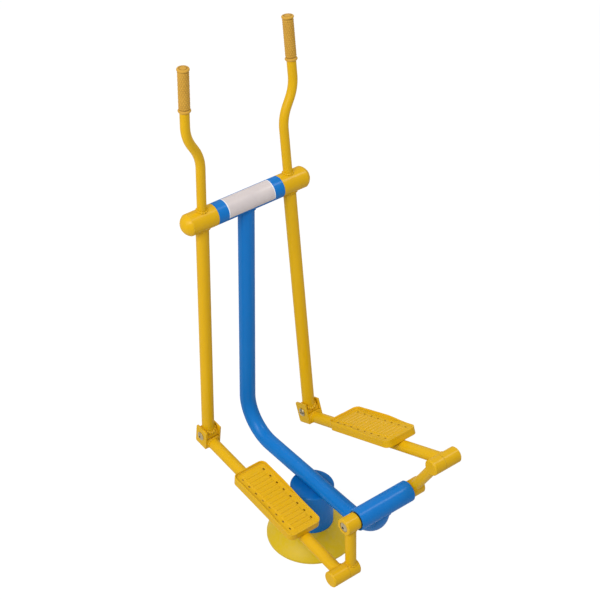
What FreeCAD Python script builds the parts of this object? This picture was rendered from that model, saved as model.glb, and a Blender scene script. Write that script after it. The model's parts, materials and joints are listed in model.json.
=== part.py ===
import FreeCAD, Part

# Outdoor cross trainer for a park: a bent blue frame on one column, two swinging arms and two pedal beams.
# +X is the user's right, +Y the way the user faces, +Z up. The origin is the middle of the ground plate, at
# ground level. Arms, beams and cranks are drawn in local frames and then placed at their rest angles.

import math
import os

import Sketcher
from FreeCAD import Placement, Rotation, Vector

# Driving dimensions in millimetres and degrees
SIZES = {
    # Ground plate, column and cover
    "flange_diameter": 290, "flange_thickness": 14, "anchor_circle": 230, "anchor_hole": 18,
    "anchor_count": 4, "post_diameter": 156, "post_wall": 6, "cap_thickness": 12, "cradle_depth": 3,
    "rib_count": 4, "rib_thickness": 8, "rib_reach": 48, "rib_height": 40,
    "cover_diameter": 320, "cover_height": 72, "cover_rim": 8, "cover_wall": 3, "cover_dome": 200,
    "cover_clearance": 0.5,
    # Bent main tube
    "tube_diameter": 57, "tube_wall": 4, "run_height": 262, "front_bend": 140, "rear_bend": 140,
    # Crossbar with its shaft
    "bar_forward": 375, "bar_height": 1243, "bar_diameter": 76, "bar_wall": 4, "bar_half": 135,
    "label_half": 95, "label_thickness": 0.6, "label_gap": 0.3, "label_angle": 132, "label_tilt": 43,
    "plug_width": 15,
    "shaft_diameter": 30, "shaft_inset": 9.5,
    "screw_washer": 44, "screw_washer_thickness": 3, "screw_head": 18, "screw_head_height": 7,
    "screw_shank": 10, "screw_depth": 25,
    # Swinging sleeves on the shaft
    "joint_gap": 0.5, "running_clearance": 0.05, "sleeve_length": 100, "sleeve_wall": 4, "bush_width": 18,
    "bush_inset": 4, "dome_depth": 24, "dome_floor": 2, "spigot_length": 6, "spigot_wall": 4,
    "spigot_clearance": 0.1,
    # Handles and grips
    "arm_offset": 179.5, "handle_diameter": 32, "handle_wall": 2.5, "handle_straight": 197,
    "handle_bend": 150, "handle_angle": 30, "handle_slant": 27.6, "handle_top": 571, "grip_top": 579,
    "grip_length": 155, "grip_diameter": 37, "grip_collar": 42.4, "grip_collar_height": 10,
    "grip_head": 41.2, "grip_head_height": 8, "grip_chamfer": 3,
    # Lower arms with the eyes that carry the beams
    "arm_diameter": 44.5, "arm_wall": 3, "arm_length": 926, "eye_diameter": 50, "eye_wall": 4, "eye_gap": 0.5,
    "eye_bush_length": 20,
    # Pedal beams with their forked hinge brackets
    "beam_length": 754, "beam_diameter": 42, "beam_wall": 3, "hinge_rise": 28,
    "fork_gap": 53, "fork_plate": 6, "fork_web": 5, "fork_front": 28, "fork_rear": 30.5, "fork_rise": 35,
    "fork_drop": 43, "fork_chamfer": 4, "web_margin": 1,
    "bolt_diameter": 16, "bolt_head": 27, "bolt_head_height": 10, "washer_diameter": 32,
    "washer_thickness": 3, "nut_height": 13, "bolt_tail": 3,
    "pin_sleeve_diameter": 57, "pin_sleeve_wall": 4, "pin_sleeve_reach": 42.5, "pin_cap_thickness": 5,
    "pin_cap_chamfer": 3, "crank_pin_diameter": 25, "pin_bearing_width": 15, "pin_bearing_inset": 5,
    # Pedals
    "pedal_length": 332, "pedal_width": 135, "pedal_rise": 47, "left_pedal_rear": 190,
    "right_pedal_rear": 213, "pedal_seat_gap": 0.3, "pedal_corner": 22, "pedal_edge": 5,
    "pedal_sheet": 3.5, "lip_width": 10, "rim_width": 8, "rim_height": 1.5, "tread_count": 26,
    "tread_length": 78, "tread_width": 5, "tread_height": 1, "tread_spacing": 11.5,
    "slot_count": 8, "slot_width": 6, "slot_length": 10, "slot_spacing": 38, "slot_rows": 92,
    "saddle_length": 40, "saddle_width": 80, "saddle_spacing": 200, "saddle_wrap": 14,
    # Rear housing and cranks
    "crank_back": 365, "crank_height": 416, "crank_radius": 202, "left_crank_angle": -2.9,
    "right_crank_angle": 209.3, "housing_diameter": 76, "housing_wall": 5, "housing_half": 113,
    "bearing_width": 18, "bearing_inset": 5, "axle_diameter": 30, "axle_inset": 2.8,
    "hub_diameter": 60, "hub_length": 54, "hub_chamfer": 2, "recess_depth": 5, "hub_washer": 36,
    "hub_washer_thickness": 3, "hub_bolt": 12, "hub_bolt_depth": 22, "hub_bolt_head": 20,
    "hub_bolt_head_height": 7, "crank_inset": 23.2, "crank_diameter": 38, "crank_wall": 4,
    "socket_inner": 23.7, "socket_outer": 22.4, "socket_chamfer": 3, "parting_gap": 0.8,
}

SIDES = {"left": -1, "right": 1}
TOLERANCE = 0.01
FLIP = Rotation(Vector(0, 0, 1), 180)
ALONG_X = Rotation(Vector(0, 1, 0), 90)
PEDAL_DEPTH = "(Sizes.pedal_rise - Sizes.beam_diameter / 2 - Sizes.pedal_seat_gap)"
SHAFT_HALF = "(Sizes.bar_half + Sizes.joint_gap + Sizes.sleeve_length - Sizes.shaft_inset)"
HUB_START = "(Sizes.housing_half + Sizes.parting_gap)"
HUB_SEAT = f"({HUB_START} + Sizes.hub_length - Sizes.recess_depth)"
AXLE_HALF = f"({HUB_SEAT} - Sizes.axle_inset)"
CRANK_OFFSET = f"({HUB_START} + Sizes.crank_inset)"
SOCKET_END = f"({CRANK_OFFSET} + Sizes.socket_outer)"
FORK_INSIDE = "(Sizes.fork_gap / 2)"
FORK_OUTSIDE = "(Sizes.fork_gap / 2 + Sizes.fork_plate)"

doc = FreeCAD.newDocument("CrossTrainer")
sheet = doc.addObject("Spreadsheet::Sheet", "Sizes")
for row, (alias, number) in enumerate(SIZES.items(), start=1):
    sheet.set(f"A{row}", alias)
    sheet.set(f"B{row}", str(number))
    sheet.setAlias(f"B{row}", alias)
doc.recompute()

pieces = {}


def value(expression):
    """Number that an expression on the sheet gives."""
    result = sheet.evalExpression(str(expression))
    return float(getattr(result, "Value", result))


def size(alias):
    """Number in one cell of the sheet."""
    return value(f"Sizes.{alias}")


def keep(label, piece, frame=None):
    """Names a finished piece, puts it in its frame and lists it for export."""
    piece.Label = label
    if frame is not None:
        piece.Placement = frame
    pieces[label] = piece
    return piece


def new_body(name):
    return doc.addObject("PartDesign::Body", name)


def new_sketch(body, name, role):
    """Sketch on one of its body's own origin planes."""
    sketch = body.newObject("Sketcher::SketchObject", name)
    plane = [feature for feature in body.Origin.OriginFeatures if feature.Role == role][0]
    sketch.AttachmentSupport = [(plane, "")]
    sketch.MapMode = "FlatFace"
    return sketch


def arc_through(start, end, radius):
    """Arc of at most a half turn between two points; a positive radius turns left on the way."""
    chord = end - start
    middle = (start + end) * 0.5
    left = Vector(-chord.y, chord.x, 0).normalize()
    reach = math.sqrt(max(radius * radius - chord.Length * chord.Length / 4, 0))
    center = middle + left * (reach if radius > 0 else -reach)
    first, last = (start, end) if radius > 0 else (end, start)
    angles = [math.atan2(point.y - center.y, point.x - center.x) for point in (first, last)]
    circle = Part.Circle(center, Vector(0, 0, 1), abs(radius))
    return Part.ArcOfCircle(circle, angles[0], angles[1])


def draw(sketch, points, closed=True):
    """Draws a chain of lines and arcs whose corners and radii follow expressions on the sheet.

    A point is (across, up) or (across, up, radius): with a radius, the stretch to the next point is an arc.
    """
    spots = [Vector(value(point[0]), value(point[1]), 0) for point in points]
    count = len(points) if closed else len(points) - 1
    ends = []
    for index in range(count):
        start, end = spots[index], spots[(index + 1) % len(spots)]
        radius = value(points[index][2]) if len(points[index]) > 2 else 0
        if radius:
            geometry = sketch.addGeometry(arc_through(start, end, radius), False)
            ends.append((geometry, 1, 2) if radius > 0 else (geometry, 2, 1))
            held = sketch.addConstraint(Sketcher.Constraint("Radius", geometry, abs(radius)))
            sketch.setExpression(f"Constraints[{held}]", f"abs({points[index][2]})")
        else:
            geometry = sketch.addGeometry(Part.LineSegment(start, end), False)
            ends.append((geometry, 1, 2))
    for index in range(count if closed else count - 1):
        this, following = ends[index], ends[(index + 1) % count]
        sketch.addConstraint(Sketcher.Constraint("Coincident", this[0], this[2], following[0], following[1]))
    for index, point in enumerate(points):
        geometry, near = (ends[index][0], ends[index][1]) if index < count else (ends[-1][0], ends[-1][2])
        for kind, expression in (("DistanceX", point[0]), ("DistanceY", point[1])):
            held = sketch.addConstraint(Sketcher.Constraint(kind, -1, 1, geometry, near, value(expression)))
            sketch.setExpression(f"Constraints[{held}]", str(expression))
    return [f"Edge{index + 1}" for index in range(count)]


def draw_circle(sketch, radius, across="0", up="0"):
    """Circle whose middle and radius follow expressions on the sheet."""
    middle = Vector(value(across), value(up), 0)
    geometry = sketch.addGeometry(Part.Circle(middle, Vector(0, 0, 1), value(radius)), False)
    held = sketch.addConstraint(Sketcher.Constraint("Radius", geometry, value(radius)))
    sketch.setExpression(f"Constraints[{held}]", str(radius))
    for kind, expression in (("DistanceX", across), ("DistanceY", up)):
        held = sketch.addConstraint(Sketcher.Constraint(kind, -1, 1, geometry, 3, value(expression)))
        sketch.setExpression(f"Constraints[{held}]", str(expression))


def turned(name, points, axis="H_Axis", sweep="360"):
    """Body of revolution: points are (along X, radius) about X, or (radius, up) about Z with V_Axis.

    A sweep under a full turn lies evenly on both sides of the upper half of the profile's plane.
    """
    body = new_body(name)
    sketch = new_sketch(body, f"{name}_profile", "XZ_Plane")
    draw(sketch, points)
    turn = body.newObject("PartDesign::Revolution", f"{name}_turn")
    turn.Profile = sketch
    turn.ReferenceAxis = (sketch, [axis])
    turn.setExpression("Angle", sweep)
    turn.Midplane = True
    return body


def ring(name, inner, outer, start, end, axis="H_Axis"):
    """Plain tube, bush, washer or disc between two places on its axis."""
    corners = [(start, inner), (start, outer), (end, outer), (end, inner)]
    if axis == "V_Axis":
        corners = [(radius, place) for place, radius in corners]
    return turned(name, corners, axis)


def pipe(name, role, path_points, outer, inner, start):
    """Bent tube swept along a chain of lines and arcs that sets out along Z from height start."""
    body = new_body(name)
    path = new_sketch(body, f"{name}_path", role)
    edges = draw(path, path_points, closed=False)
    section = new_sketch(body, f"{name}_section", "XY_Plane")
    for axis, expression in zip("xyz", start):
        section.setExpression(f".AttachmentOffset.Base.{axis}", expression)
    draw_circle(section, outer)
    draw_circle(section, inner)
    doc.recompute()
    sweep = body.newObject("PartDesign::AdditivePipe", f"{name}_sweep")
    sweep.Profile = section
    sweep.Spine = (path, edges)
    return body


def rod(name, radius, start, length, rotation=ALONG_X):
    """Plain cylinder, along X unless turned, whose sizes follow the sheet."""
    solid = doc.addObject("Part::Cylinder", name)
    solid.setExpression("Radius", radius)
    solid.setExpression("Height", length)
    solid.Placement = Placement(Vector(0, 0, 0), rotation)
    for axis, expression in zip("xyz", start):
        solid.setExpression(f".Placement.Base.{axis}", expression)
    return solid


def hexagon(name, across_flats, start, length):
    """Six-sided prism along X."""
    solid = doc.addObject("Part::Prism", name)
    solid.Polygon = 6
    solid.setExpression("Circumradius", f"({across_flats}) / 2 / cos(30 deg)")
    solid.setExpression("Height", length)
    solid.Placement = Placement(Vector(0, 0, 0), ALONG_X)
    for axis, expression in zip("xyz", start):
        solid.setExpression(f".Placement.Base.{axis}", expression)
    return solid


def cut(name, base, tools):
    """Base less its tools."""
    result = base
    for number, tool in enumerate(tools):
        step = doc.addObject("Part::Cut", f"{name}_cut{number}")
        step.Base = result
        step.Tool = tool
        result = step
    return result


def fuse(name, solids):
    result = doc.addObject("Part::MultiFuse", name)
    result.Shapes = solids
    return result


def group(name, solids):
    """Several separate solids of one kind under one name."""
    result = doc.addObject("Part::Compound", name)
    result.Links = solids
    return result


def pair(name, make):
    """Two alike pieces, one on each side of the middle plane, as a group."""
    solids = []
    for side, sign in SIDES.items():
        solid = make(f"{name}_{side}")
        if sign < 0:
            solid.Placement = Placement(Vector(0, 0, 0), FLIP)
        solids.append(solid)
    return group(name, solids)


class Linkage:
    """Where one side's crank pin and hinge stand at rest, worked out from the lengths of its links."""

    def __init__(self, crank_angle):
        turn = math.radians(crank_angle)
        self.crank_angle = crank_angle
        self.pin_y = -size("crank_back") + size("crank_radius") * math.sin(turn)
        self.pin_z = size("crank_height") - size("crank_radius") * math.cos(turn)
        back = size("bar_forward") - self.pin_y
        rise = size("bar_height") - self.pin_z
        reach = math.hypot(back, rise)
        arm, beam = size("arm_length"), math.hypot(size("beam_length"), size("hinge_rise"))
        corner = math.acos((beam * beam + reach * reach - arm * arm) / (2 * beam * reach))
        tilt = math.atan2(rise, back) - corner
        self.hinge_y = self.pin_y + beam * math.cos(tilt)
        self.hinge_z = self.pin_z + beam * math.sin(tilt)
        self.beam_angle = math.degrees(tilt - math.atan2(size("hinge_rise"), size("beam_length")))
        self.arm_angle = math.degrees(
            math.atan2(self.hinge_y - size("bar_forward"), size("bar_height") - self.hinge_z))

    def arm_frame(self):
        spot = Vector(0, size("bar_forward"), size("bar_height"))
        return Placement(spot, Rotation(Vector(1, 0, 0), self.arm_angle))

    def pin_frame(self):
        spot = Vector(0, self.pin_y, self.pin_z)
        return Placement(spot, Rotation(Vector(1, 0, 0), self.beam_angle))

    def beam_frame(self):
        """On the beam's axis under the hinge, with -Y towards the crank pin."""
        return self.pin_frame() * Placement(Vector(0, size("beam_length"), 0), Rotation())

    def crank_frame(self):
        spot = Vector(0, -size("crank_back"), size("crank_height"))
        return Placement(spot, Rotation(Vector(1, 0, 0), self.crank_angle))


def outward(frame, sign):
    """The same frame with its +X towards the outside of the machine."""
    return frame if sign > 0 else frame * Placement(Vector(0, 0, 0), FLIP)


def make_ground_parts():
    """Ground plate with anchor holes, column, ribs, top plate and domed cover."""
    body = new_body("base_flange")
    disc = new_sketch(body, "flange_disc", "XY_Plane")
    draw_circle(disc, "Sizes.flange_diameter / 2")
    pad = body.newObject("PartDesign::Pad", "flange_pad")
    pad.Profile = disc
    pad.setExpression("Length", "Sizes.flange_thickness")
    hole = new_sketch(body, "anchor_hole_sketch", "XY_Plane")
    diagonal = "Sizes.anchor_circle / 2 * cos(180 deg / Sizes.anchor_count)"
    aside = "Sizes.anchor_circle / 2 * sin(180 deg / Sizes.anchor_count)"
    draw_circle(hole, "Sizes.anchor_hole / 2", diagonal, aside)
    doc.recompute()
    pocket = body.newObject("PartDesign::Pocket", "anchor_pocket")
    pocket.Profile = hole
    pocket.Type = "ThroughAll"
    pocket.Reversed = True
    pattern = body.newObject("PartDesign::PolarPattern", "anchor_pattern")
    pattern.Originals = [pocket]
    pattern.Axis = (disc, ["N_Axis"])
    pattern.Angle = 360
    pattern.setExpression("Occurrences", "Sizes.anchor_count")
    body.Tip = pattern
    keep("base_flange", body)

    cap_top = "(Sizes.run_height - Sizes.tube_diameter / 2 + Sizes.cradle_depth)"
    post_top = f"({cap_top} - Sizes.cap_thickness)"
    post_radius = "Sizes.post_diameter / 2"
    keep("post", ring("post", f"{post_radius} - Sizes.post_wall", post_radius, "Sizes.flange_thickness",
                      post_top, "V_Axis"))
    cap = turned("post_cap_disc", [
        ("0", post_top), (post_radius, post_top), (post_radius, f"{cap_top} - Sizes.cradle_depth"),
        (f"{post_radius} - Sizes.cradle_depth", cap_top), ("0", cap_top)], "V_Axis")
    cradle = rod("cradle_tool", "Sizes.tube_diameter / 2", ("0", "Sizes.post_diameter", "Sizes.run_height"),
                 "2 * Sizes.post_diameter", Rotation(Vector(1, 0, 0), 90))
    keep("post_cap", cut("post_cap", cap, [cradle]))

    ribs = []
    for number in range(int(size("rib_count"))):
        rib = new_body(f"rib_{number}")
        side = new_sketch(rib, f"rib_{number}_side", "XZ_Plane")
        draw(side, [(post_radius, "Sizes.flange_thickness"),
                    (f"{post_radius} + Sizes.rib_reach", "Sizes.flange_thickness"),
                    (post_radius, "Sizes.flange_thickness + Sizes.rib_height")])
        plate = rib.newObject("PartDesign::Pad", f"rib_{number}_pad")
        plate.Profile = side
        plate.SideType = "Symmetric"
        plate.setExpression("Length", "Sizes.rib_thickness")
        turn = 360 * number / size("rib_count")
        rib.Placement = Placement(Vector(0, 0, 0), Rotation(Vector(0, 0, 1), turn))
        trimmed = cut(f"rib_{number}", rib, [rod(f"rib_{number}_tool", post_radius, ("0", "0", "0"),
                                                  post_top, Rotation())])
        ribs.append(trimmed)
    keep("base_ribs", group("base_ribs", ribs))

    rim = "Sizes.cover_diameter / 2"
    neck = f"{post_radius} + Sizes.cover_clearance"
    keep("base_cover", turned("base_cover", [
        (f"{rim} - Sizes.cover_wall", "0"), (rim, "0"), (rim, "Sizes.cover_rim", "Sizes.cover_dome"),
        (neck, "Sizes.cover_height"),
        (neck, "Sizes.cover_height - Sizes.cover_wall", "Sizes.cover_wall - Sizes.cover_dome"),
        (f"{rim} - Sizes.cover_wall", "Sizes.cover_rim")], "V_Axis"))


def make_frame_tubes():
    """Bent main tube, crossbar, rear housing and what sits in them."""
    outer, inner = "Sizes.tube_diameter / 2", "Sizes.tube_diameter / 2 - Sizes.tube_wall"
    front, low, rear = "Sizes.bar_forward", "Sizes.run_height", "-Sizes.crank_back"
    body = pipe("main_tube_sweep", "YZ_Plane", [
        (front, "Sizes.bar_height"), (front, f"{low} + Sizes.front_bend", "-Sizes.front_bend"),
        (f"{front} - Sizes.front_bend", low), (f"{rear} + Sizes.rear_bend", low, "-Sizes.rear_bend"),
        (rear, f"{low} + Sizes.rear_bend"), (rear, "Sizes.crank_height")], outer, inner,
        ("0", front, "Sizes.bar_height"))
    bar_tool = rod("bar_cope", "Sizes.bar_diameter / 2", ("-Sizes.bar_half", front, "Sizes.bar_height"),
                   "2 * Sizes.bar_half")
    housing_tool = rod("housing_cope", "Sizes.housing_diameter / 2",
                       ("-Sizes.housing_half", rear, "Sizes.crank_height"), "2 * Sizes.housing_half")
    keep("main_tube", cut("main_tube", body, [bar_tool, housing_tool]))

    top = Placement(Vector(0, size("bar_forward"), size("bar_height")), Rotation())
    bar_radius, shaft_radius = "Sizes.bar_diameter / 2", "Sizes.shaft_diameter / 2"
    bar_bore = "Sizes.bar_diameter / 2 - Sizes.bar_wall"
    keep("crossbar", ring("crossbar", bar_bore, bar_radius, "-Sizes.bar_half", "Sizes.bar_half"), top)
    label_seat = f"({bar_radius} + Sizes.label_gap)"
    label_top = f"({label_seat} + Sizes.label_thickness)"
    label = turned("crossbar_label", [
        ("-Sizes.label_half", label_seat), ("-Sizes.label_half", label_top), ("Sizes.label_half", label_top),
        ("Sizes.label_half", label_seat)], sweep="Sizes.label_angle")
    tilt = Rotation(Vector(1, 0, 0), size("label_tilt"))
    keep("crossbar_label", label, top * Placement(Vector(0, 0, 0), tilt))
    tap = "Sizes.screw_shank / 2"
    tap_end = f"({SHAFT_HALF} - Sizes.screw_depth)"
    keep("top_shaft", turned("top_shaft", [
        (f"-{SHAFT_HALF}", tap), (f"-{SHAFT_HALF}", shaft_radius), (SHAFT_HALF, shaft_radius),
        (SHAFT_HALF, tap), (tap_end, tap), (tap_end, "0"), (f"-{tap_end}", "0"), (f"-{tap_end}", tap)]), top)
    keep("crossbar_plugs", pair("crossbar_plugs", lambda name: ring(
        name, shaft_radius, bar_bore, "Sizes.bar_half - Sizes.plug_width", "Sizes.bar_half")), top)
    face = f"({SHAFT_HALF} + Sizes.screw_washer_thickness)"
    keep("shaft_end_screws", pair("shaft_end_screws", lambda name: turned(name, [
        (tap_end, "0"), (tap_end, tap), (SHAFT_HALF, tap), (SHAFT_HALF, "Sizes.screw_washer / 2"),
        (face, "Sizes.screw_washer / 2"), (face, "Sizes.screw_head / 2"),
        (f"{face} + Sizes.screw_head_height", "Sizes.screw_head / 2"),
        (f"{face} + Sizes.screw_head_height", "0")])), top)

    back = Placement(Vector(0, -size("crank_back"), size("crank_height")), Rotation())
    housing_bore = "Sizes.housing_diameter / 2 - Sizes.housing_wall"
    keep("rear_housing", ring("rear_housing", housing_bore, "Sizes.housing_diameter / 2",
                              "-Sizes.housing_half", "Sizes.housing_half"), back)
    outer_face = "Sizes.housing_half - Sizes.bearing_inset"
    keep("rear_bearings", pair("rear_bearings", lambda name: ring(
        name, "Sizes.axle_diameter / 2 + Sizes.running_clearance", housing_bore,
        f"{outer_face} - Sizes.bearing_width", outer_face)), back)


def make_crank_axle():
    """Axle through the rear housing with the bolt and washer at each end."""
    left = Linkage(size("left_crank_angle"))
    frame = left.crank_frame()
    axle_radius, bolt_radius = "Sizes.axle_diameter / 2", "Sizes.hub_bolt / 2"
    bottom = f"({AXLE_HALF} - Sizes.hub_bolt_depth)"
    keep("crank_axle", turned("crank_axle", [
        (f"-{AXLE_HALF}", bolt_radius), (f"-{AXLE_HALF}", axle_radius), (AXLE_HALF, axle_radius),
        (AXLE_HALF, bolt_radius), (bottom, bolt_radius), (bottom, "0"), (f"-{bottom}", "0"),
        (f"-{bottom}", bolt_radius)]), frame)
    face = f"({HUB_SEAT} + Sizes.hub_washer_thickness)"
    keep("hub_washers", pair("hub_washers", lambda name: ring(
        name, bolt_radius, "Sizes.hub_washer / 2", HUB_SEAT, face)), frame)
    keep("hub_bolts", pair("hub_bolts", lambda name: turned(name, [
        (bottom, "0"), (bottom, bolt_radius), (face, bolt_radius), (face, "Sizes.hub_bolt_head / 2"),
        (f"{face} + Sizes.hub_bolt_head_height", "Sizes.hub_bolt_head / 2"),
        (f"{face} + Sizes.hub_bolt_head_height", "0")])), frame)


def make_crank(side, sign, link):
    """Hub on the axle, crank tube and the socket that carries the crank pin."""
    frame = outward(link.crank_frame(), sign)
    start, end = HUB_START, f"({HUB_SEAT} + Sizes.recess_depth)"
    radius, bore, recess = "Sizes.hub_diameter / 2", "Sizes.axle_diameter / 2", "Sizes.hub_washer / 2"
    keep(f"{side}_crank_hub", turned(f"{side}_crank_hub", [
        (start, bore), (start, f"{radius} - Sizes.hub_chamfer"), (f"{start} + Sizes.hub_chamfer", radius),
        (f"{end} - Sizes.hub_chamfer", radius), (end, f"{radius} - Sizes.hub_chamfer"), (end, recess),
        (HUB_SEAT, recess), (HUB_SEAT, bore)]), frame)
    socket_radius = "Sizes.pin_sleeve_diameter / 2"
    socket_start = f"({CRANK_OFFSET} - Sizes.socket_inner)"
    keep(f"{side}_crank_socket", turned(f"{side}_crank_socket", [
        (socket_start, "0"), (socket_start, f"{socket_radius} - Sizes.socket_chamfer"),
        (f"{socket_start} + Sizes.socket_chamfer", socket_radius), (SOCKET_END, socket_radius),
        (SOCKET_END, "0")]), frame * Placement(Vector(0, 0, -size("crank_radius")), Rotation()))
    outer = "Sizes.crank_diameter / 2"
    tube = ring(f"{side}_crank_tube", f"{outer} - Sizes.crank_wall", outer, "-Sizes.crank_radius", "0",
                "V_Axis")
    tube.setExpression(".Placement.Base.x", CRANK_OFFSET)
    hub_cope = rod(f"{side}_hub_cope", radius, ("0", "0", "0"), f"2 * {CRANK_OFFSET}")
    socket_cope = rod(f"{side}_socket_cope", socket_radius, ("0", "0", "-Sizes.crank_radius"),
                      f"2 * {CRANK_OFFSET}")
    keep(f"{side}_crank_arm", cut(f"{side}_crank_arm", tube, [hub_cope, socket_cope]), frame)


def make_arm(side, sign, link):
    """Sleeve on the top shaft with its dome, handle and grip, and the lower tube with the beam's eye."""
    frame = outward(link.arm_frame(), sign)
    radius, bore = "Sizes.bar_diameter / 2", "(Sizes.bar_diameter / 2 - Sizes.sleeve_wall)"
    start = "(Sizes.bar_half + Sizes.joint_gap)"
    end = f"({start} + Sizes.sleeve_length)"
    keep(f"{side}_sleeve", ring(f"{side}_sleeve", bore, radius, start, end), frame)
    spigot = f"({bore} - Sizes.spigot_clearance)"
    dome = "((Sizes.bar_diameter / 2)^2 + Sizes.dome_depth^2) / (2 * Sizes.dome_depth)"
    keep(f"{side}_sleeve_cap", turned(f"{side}_sleeve_cap", [
        (f"{end} + Sizes.dome_floor", "0"), (f"{end} + Sizes.dome_floor", f"{spigot} - Sizes.spigot_wall"),
        (f"{end} - Sizes.spigot_length", f"{spigot} - Sizes.spigot_wall"),
        (f"{end} - Sizes.spigot_length", spigot), (end, spigot), (end, radius, f"-({dome})"),
        (f"{end} + Sizes.dome_depth", "0")]), frame)
    bush_bore = "Sizes.shaft_diameter / 2 + Sizes.running_clearance"
    first = f"({start} + Sizes.bush_inset)"
    last = f"({end} - Sizes.spigot_length - Sizes.bush_inset - Sizes.bush_width)"
    bushes = [ring(f"{side}_bush_{number}", bush_bore, bore, place, f"{place} + Sizes.bush_width")
              for number, place in enumerate((first, last))]
    keep(f"{side}_sleeve_bushes", group(f"{side}_sleeve_bushes", bushes), frame)

    shift = "Sizes.handle_bend * (1 - cos(Sizes.handle_angle * 1 deg))"
    climb = "Sizes.handle_bend * sin(Sizes.handle_angle * 1 deg)"
    slant_out = "Sizes.handle_slant * sin(Sizes.handle_angle * 1 deg)"
    slant_up = "Sizes.handle_slant * cos(Sizes.handle_angle * 1 deg)"
    foot, grip_x = "Sizes.arm_offset", f"(Sizes.arm_offset + 2 * {shift} + {slant_out})"
    handle = pipe(f"{side}_handle_sweep", "XZ_Plane", [
        (foot, "0"), (foot, "Sizes.handle_straight", "-Sizes.handle_bend"),
        (f"{foot} + {shift}", f"Sizes.handle_straight + {climb}"),
        (f"{foot} + {shift} + {slant_out}", f"Sizes.handle_straight + {climb} + {slant_up}",
         "Sizes.handle_bend"),
        (grip_x, f"Sizes.handle_straight + 2 * {climb} + {slant_up}"), (grip_x, "Sizes.handle_top")],
        "Sizes.handle_diameter / 2", "Sizes.handle_diameter / 2 - Sizes.handle_wall", (foot, "0", "0"))
    sleeve_cope = rod(f"{side}_handle_cope", radius, ("0", "0", "0"), f"{end} + Sizes.arm_offset")
    keep(f"{side}_handle", cut(f"{side}_handle", handle, [sleeve_cope]), frame)

    bottom, top = "(Sizes.grip_top - Sizes.grip_length)", "Sizes.grip_top"
    body_radius, hand = "Sizes.grip_diameter / 2", "Sizes.handle_diameter / 2"
    collar_top = f"({bottom} + Sizes.grip_collar_height)"
    head_bottom = f"({top} - Sizes.grip_head_height)"
    grip = turned(f"{side}_grip", [
        (hand, bottom), ("Sizes.grip_collar / 2", bottom),
        ("Sizes.grip_collar / 2", collar_top), (body_radius, f"{collar_top} + Sizes.grip_chamfer"),
        (body_radius, f"{head_bottom} - Sizes.grip_chamfer"), ("Sizes.grip_head / 2", head_bottom),
        ("Sizes.grip_head / 2", f"{top} - Sizes.grip_chamfer"),
        ("Sizes.grip_head / 2 - Sizes.grip_chamfer", top), ("0", top), ("0", "Sizes.handle_top"),
        (hand, "Sizes.handle_top")], "V_Axis")
    keep(f"{side}_grip", grip, frame * Placement(Vector(value(grip_x), 0, 0), Rotation()))

    lower = ring(f"{side}_lower_tube", "Sizes.arm_diameter / 2 - Sizes.arm_wall", "Sizes.arm_diameter / 2",
                 "-Sizes.arm_length", "0", "V_Axis")
    lower.setExpression(".Placement.Base.x", "Sizes.arm_offset")
    eye_radius, bush_radius = "Sizes.eye_diameter / 2", "(Sizes.eye_diameter / 2 - Sizes.eye_wall)"
    lower_cope = rod(f"{side}_lower_cope", radius, ("0", "0", "0"), f"{end} + Sizes.arm_offset")
    eye_cope = rod(f"{side}_eye_cope", eye_radius, ("0", "0", "-Sizes.arm_length"), "2 * Sizes.arm_offset")
    keep(f"{side}_arm_tube", cut(f"{side}_arm_tube", lower, [lower_cope, eye_cope]), frame)
    hinge = frame * Placement(Vector(size("arm_offset"), 0, -size("arm_length")), Rotation())
    half = f"({FORK_INSIDE} - Sizes.eye_gap)"
    keep(f"{side}_beam_eye", ring(f"{side}_beam_eye", bush_radius, eye_radius, f"-{half}", half), hinge)
    bolt_fit = "Sizes.bolt_diameter / 2 + Sizes.running_clearance"
    bushes = [ring(f"{side}_eye_bush_outer", bolt_fit, bush_radius, f"{half} - Sizes.eye_bush_length", half),
              ring(f"{side}_eye_bush_inner", bolt_fit, bush_radius, f"-{half}",
                   f"Sizes.eye_bush_length - {half}")]
    keep(f"{side}_eye_bushes", group(f"{side}_eye_bushes", bushes), hinge)


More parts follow.
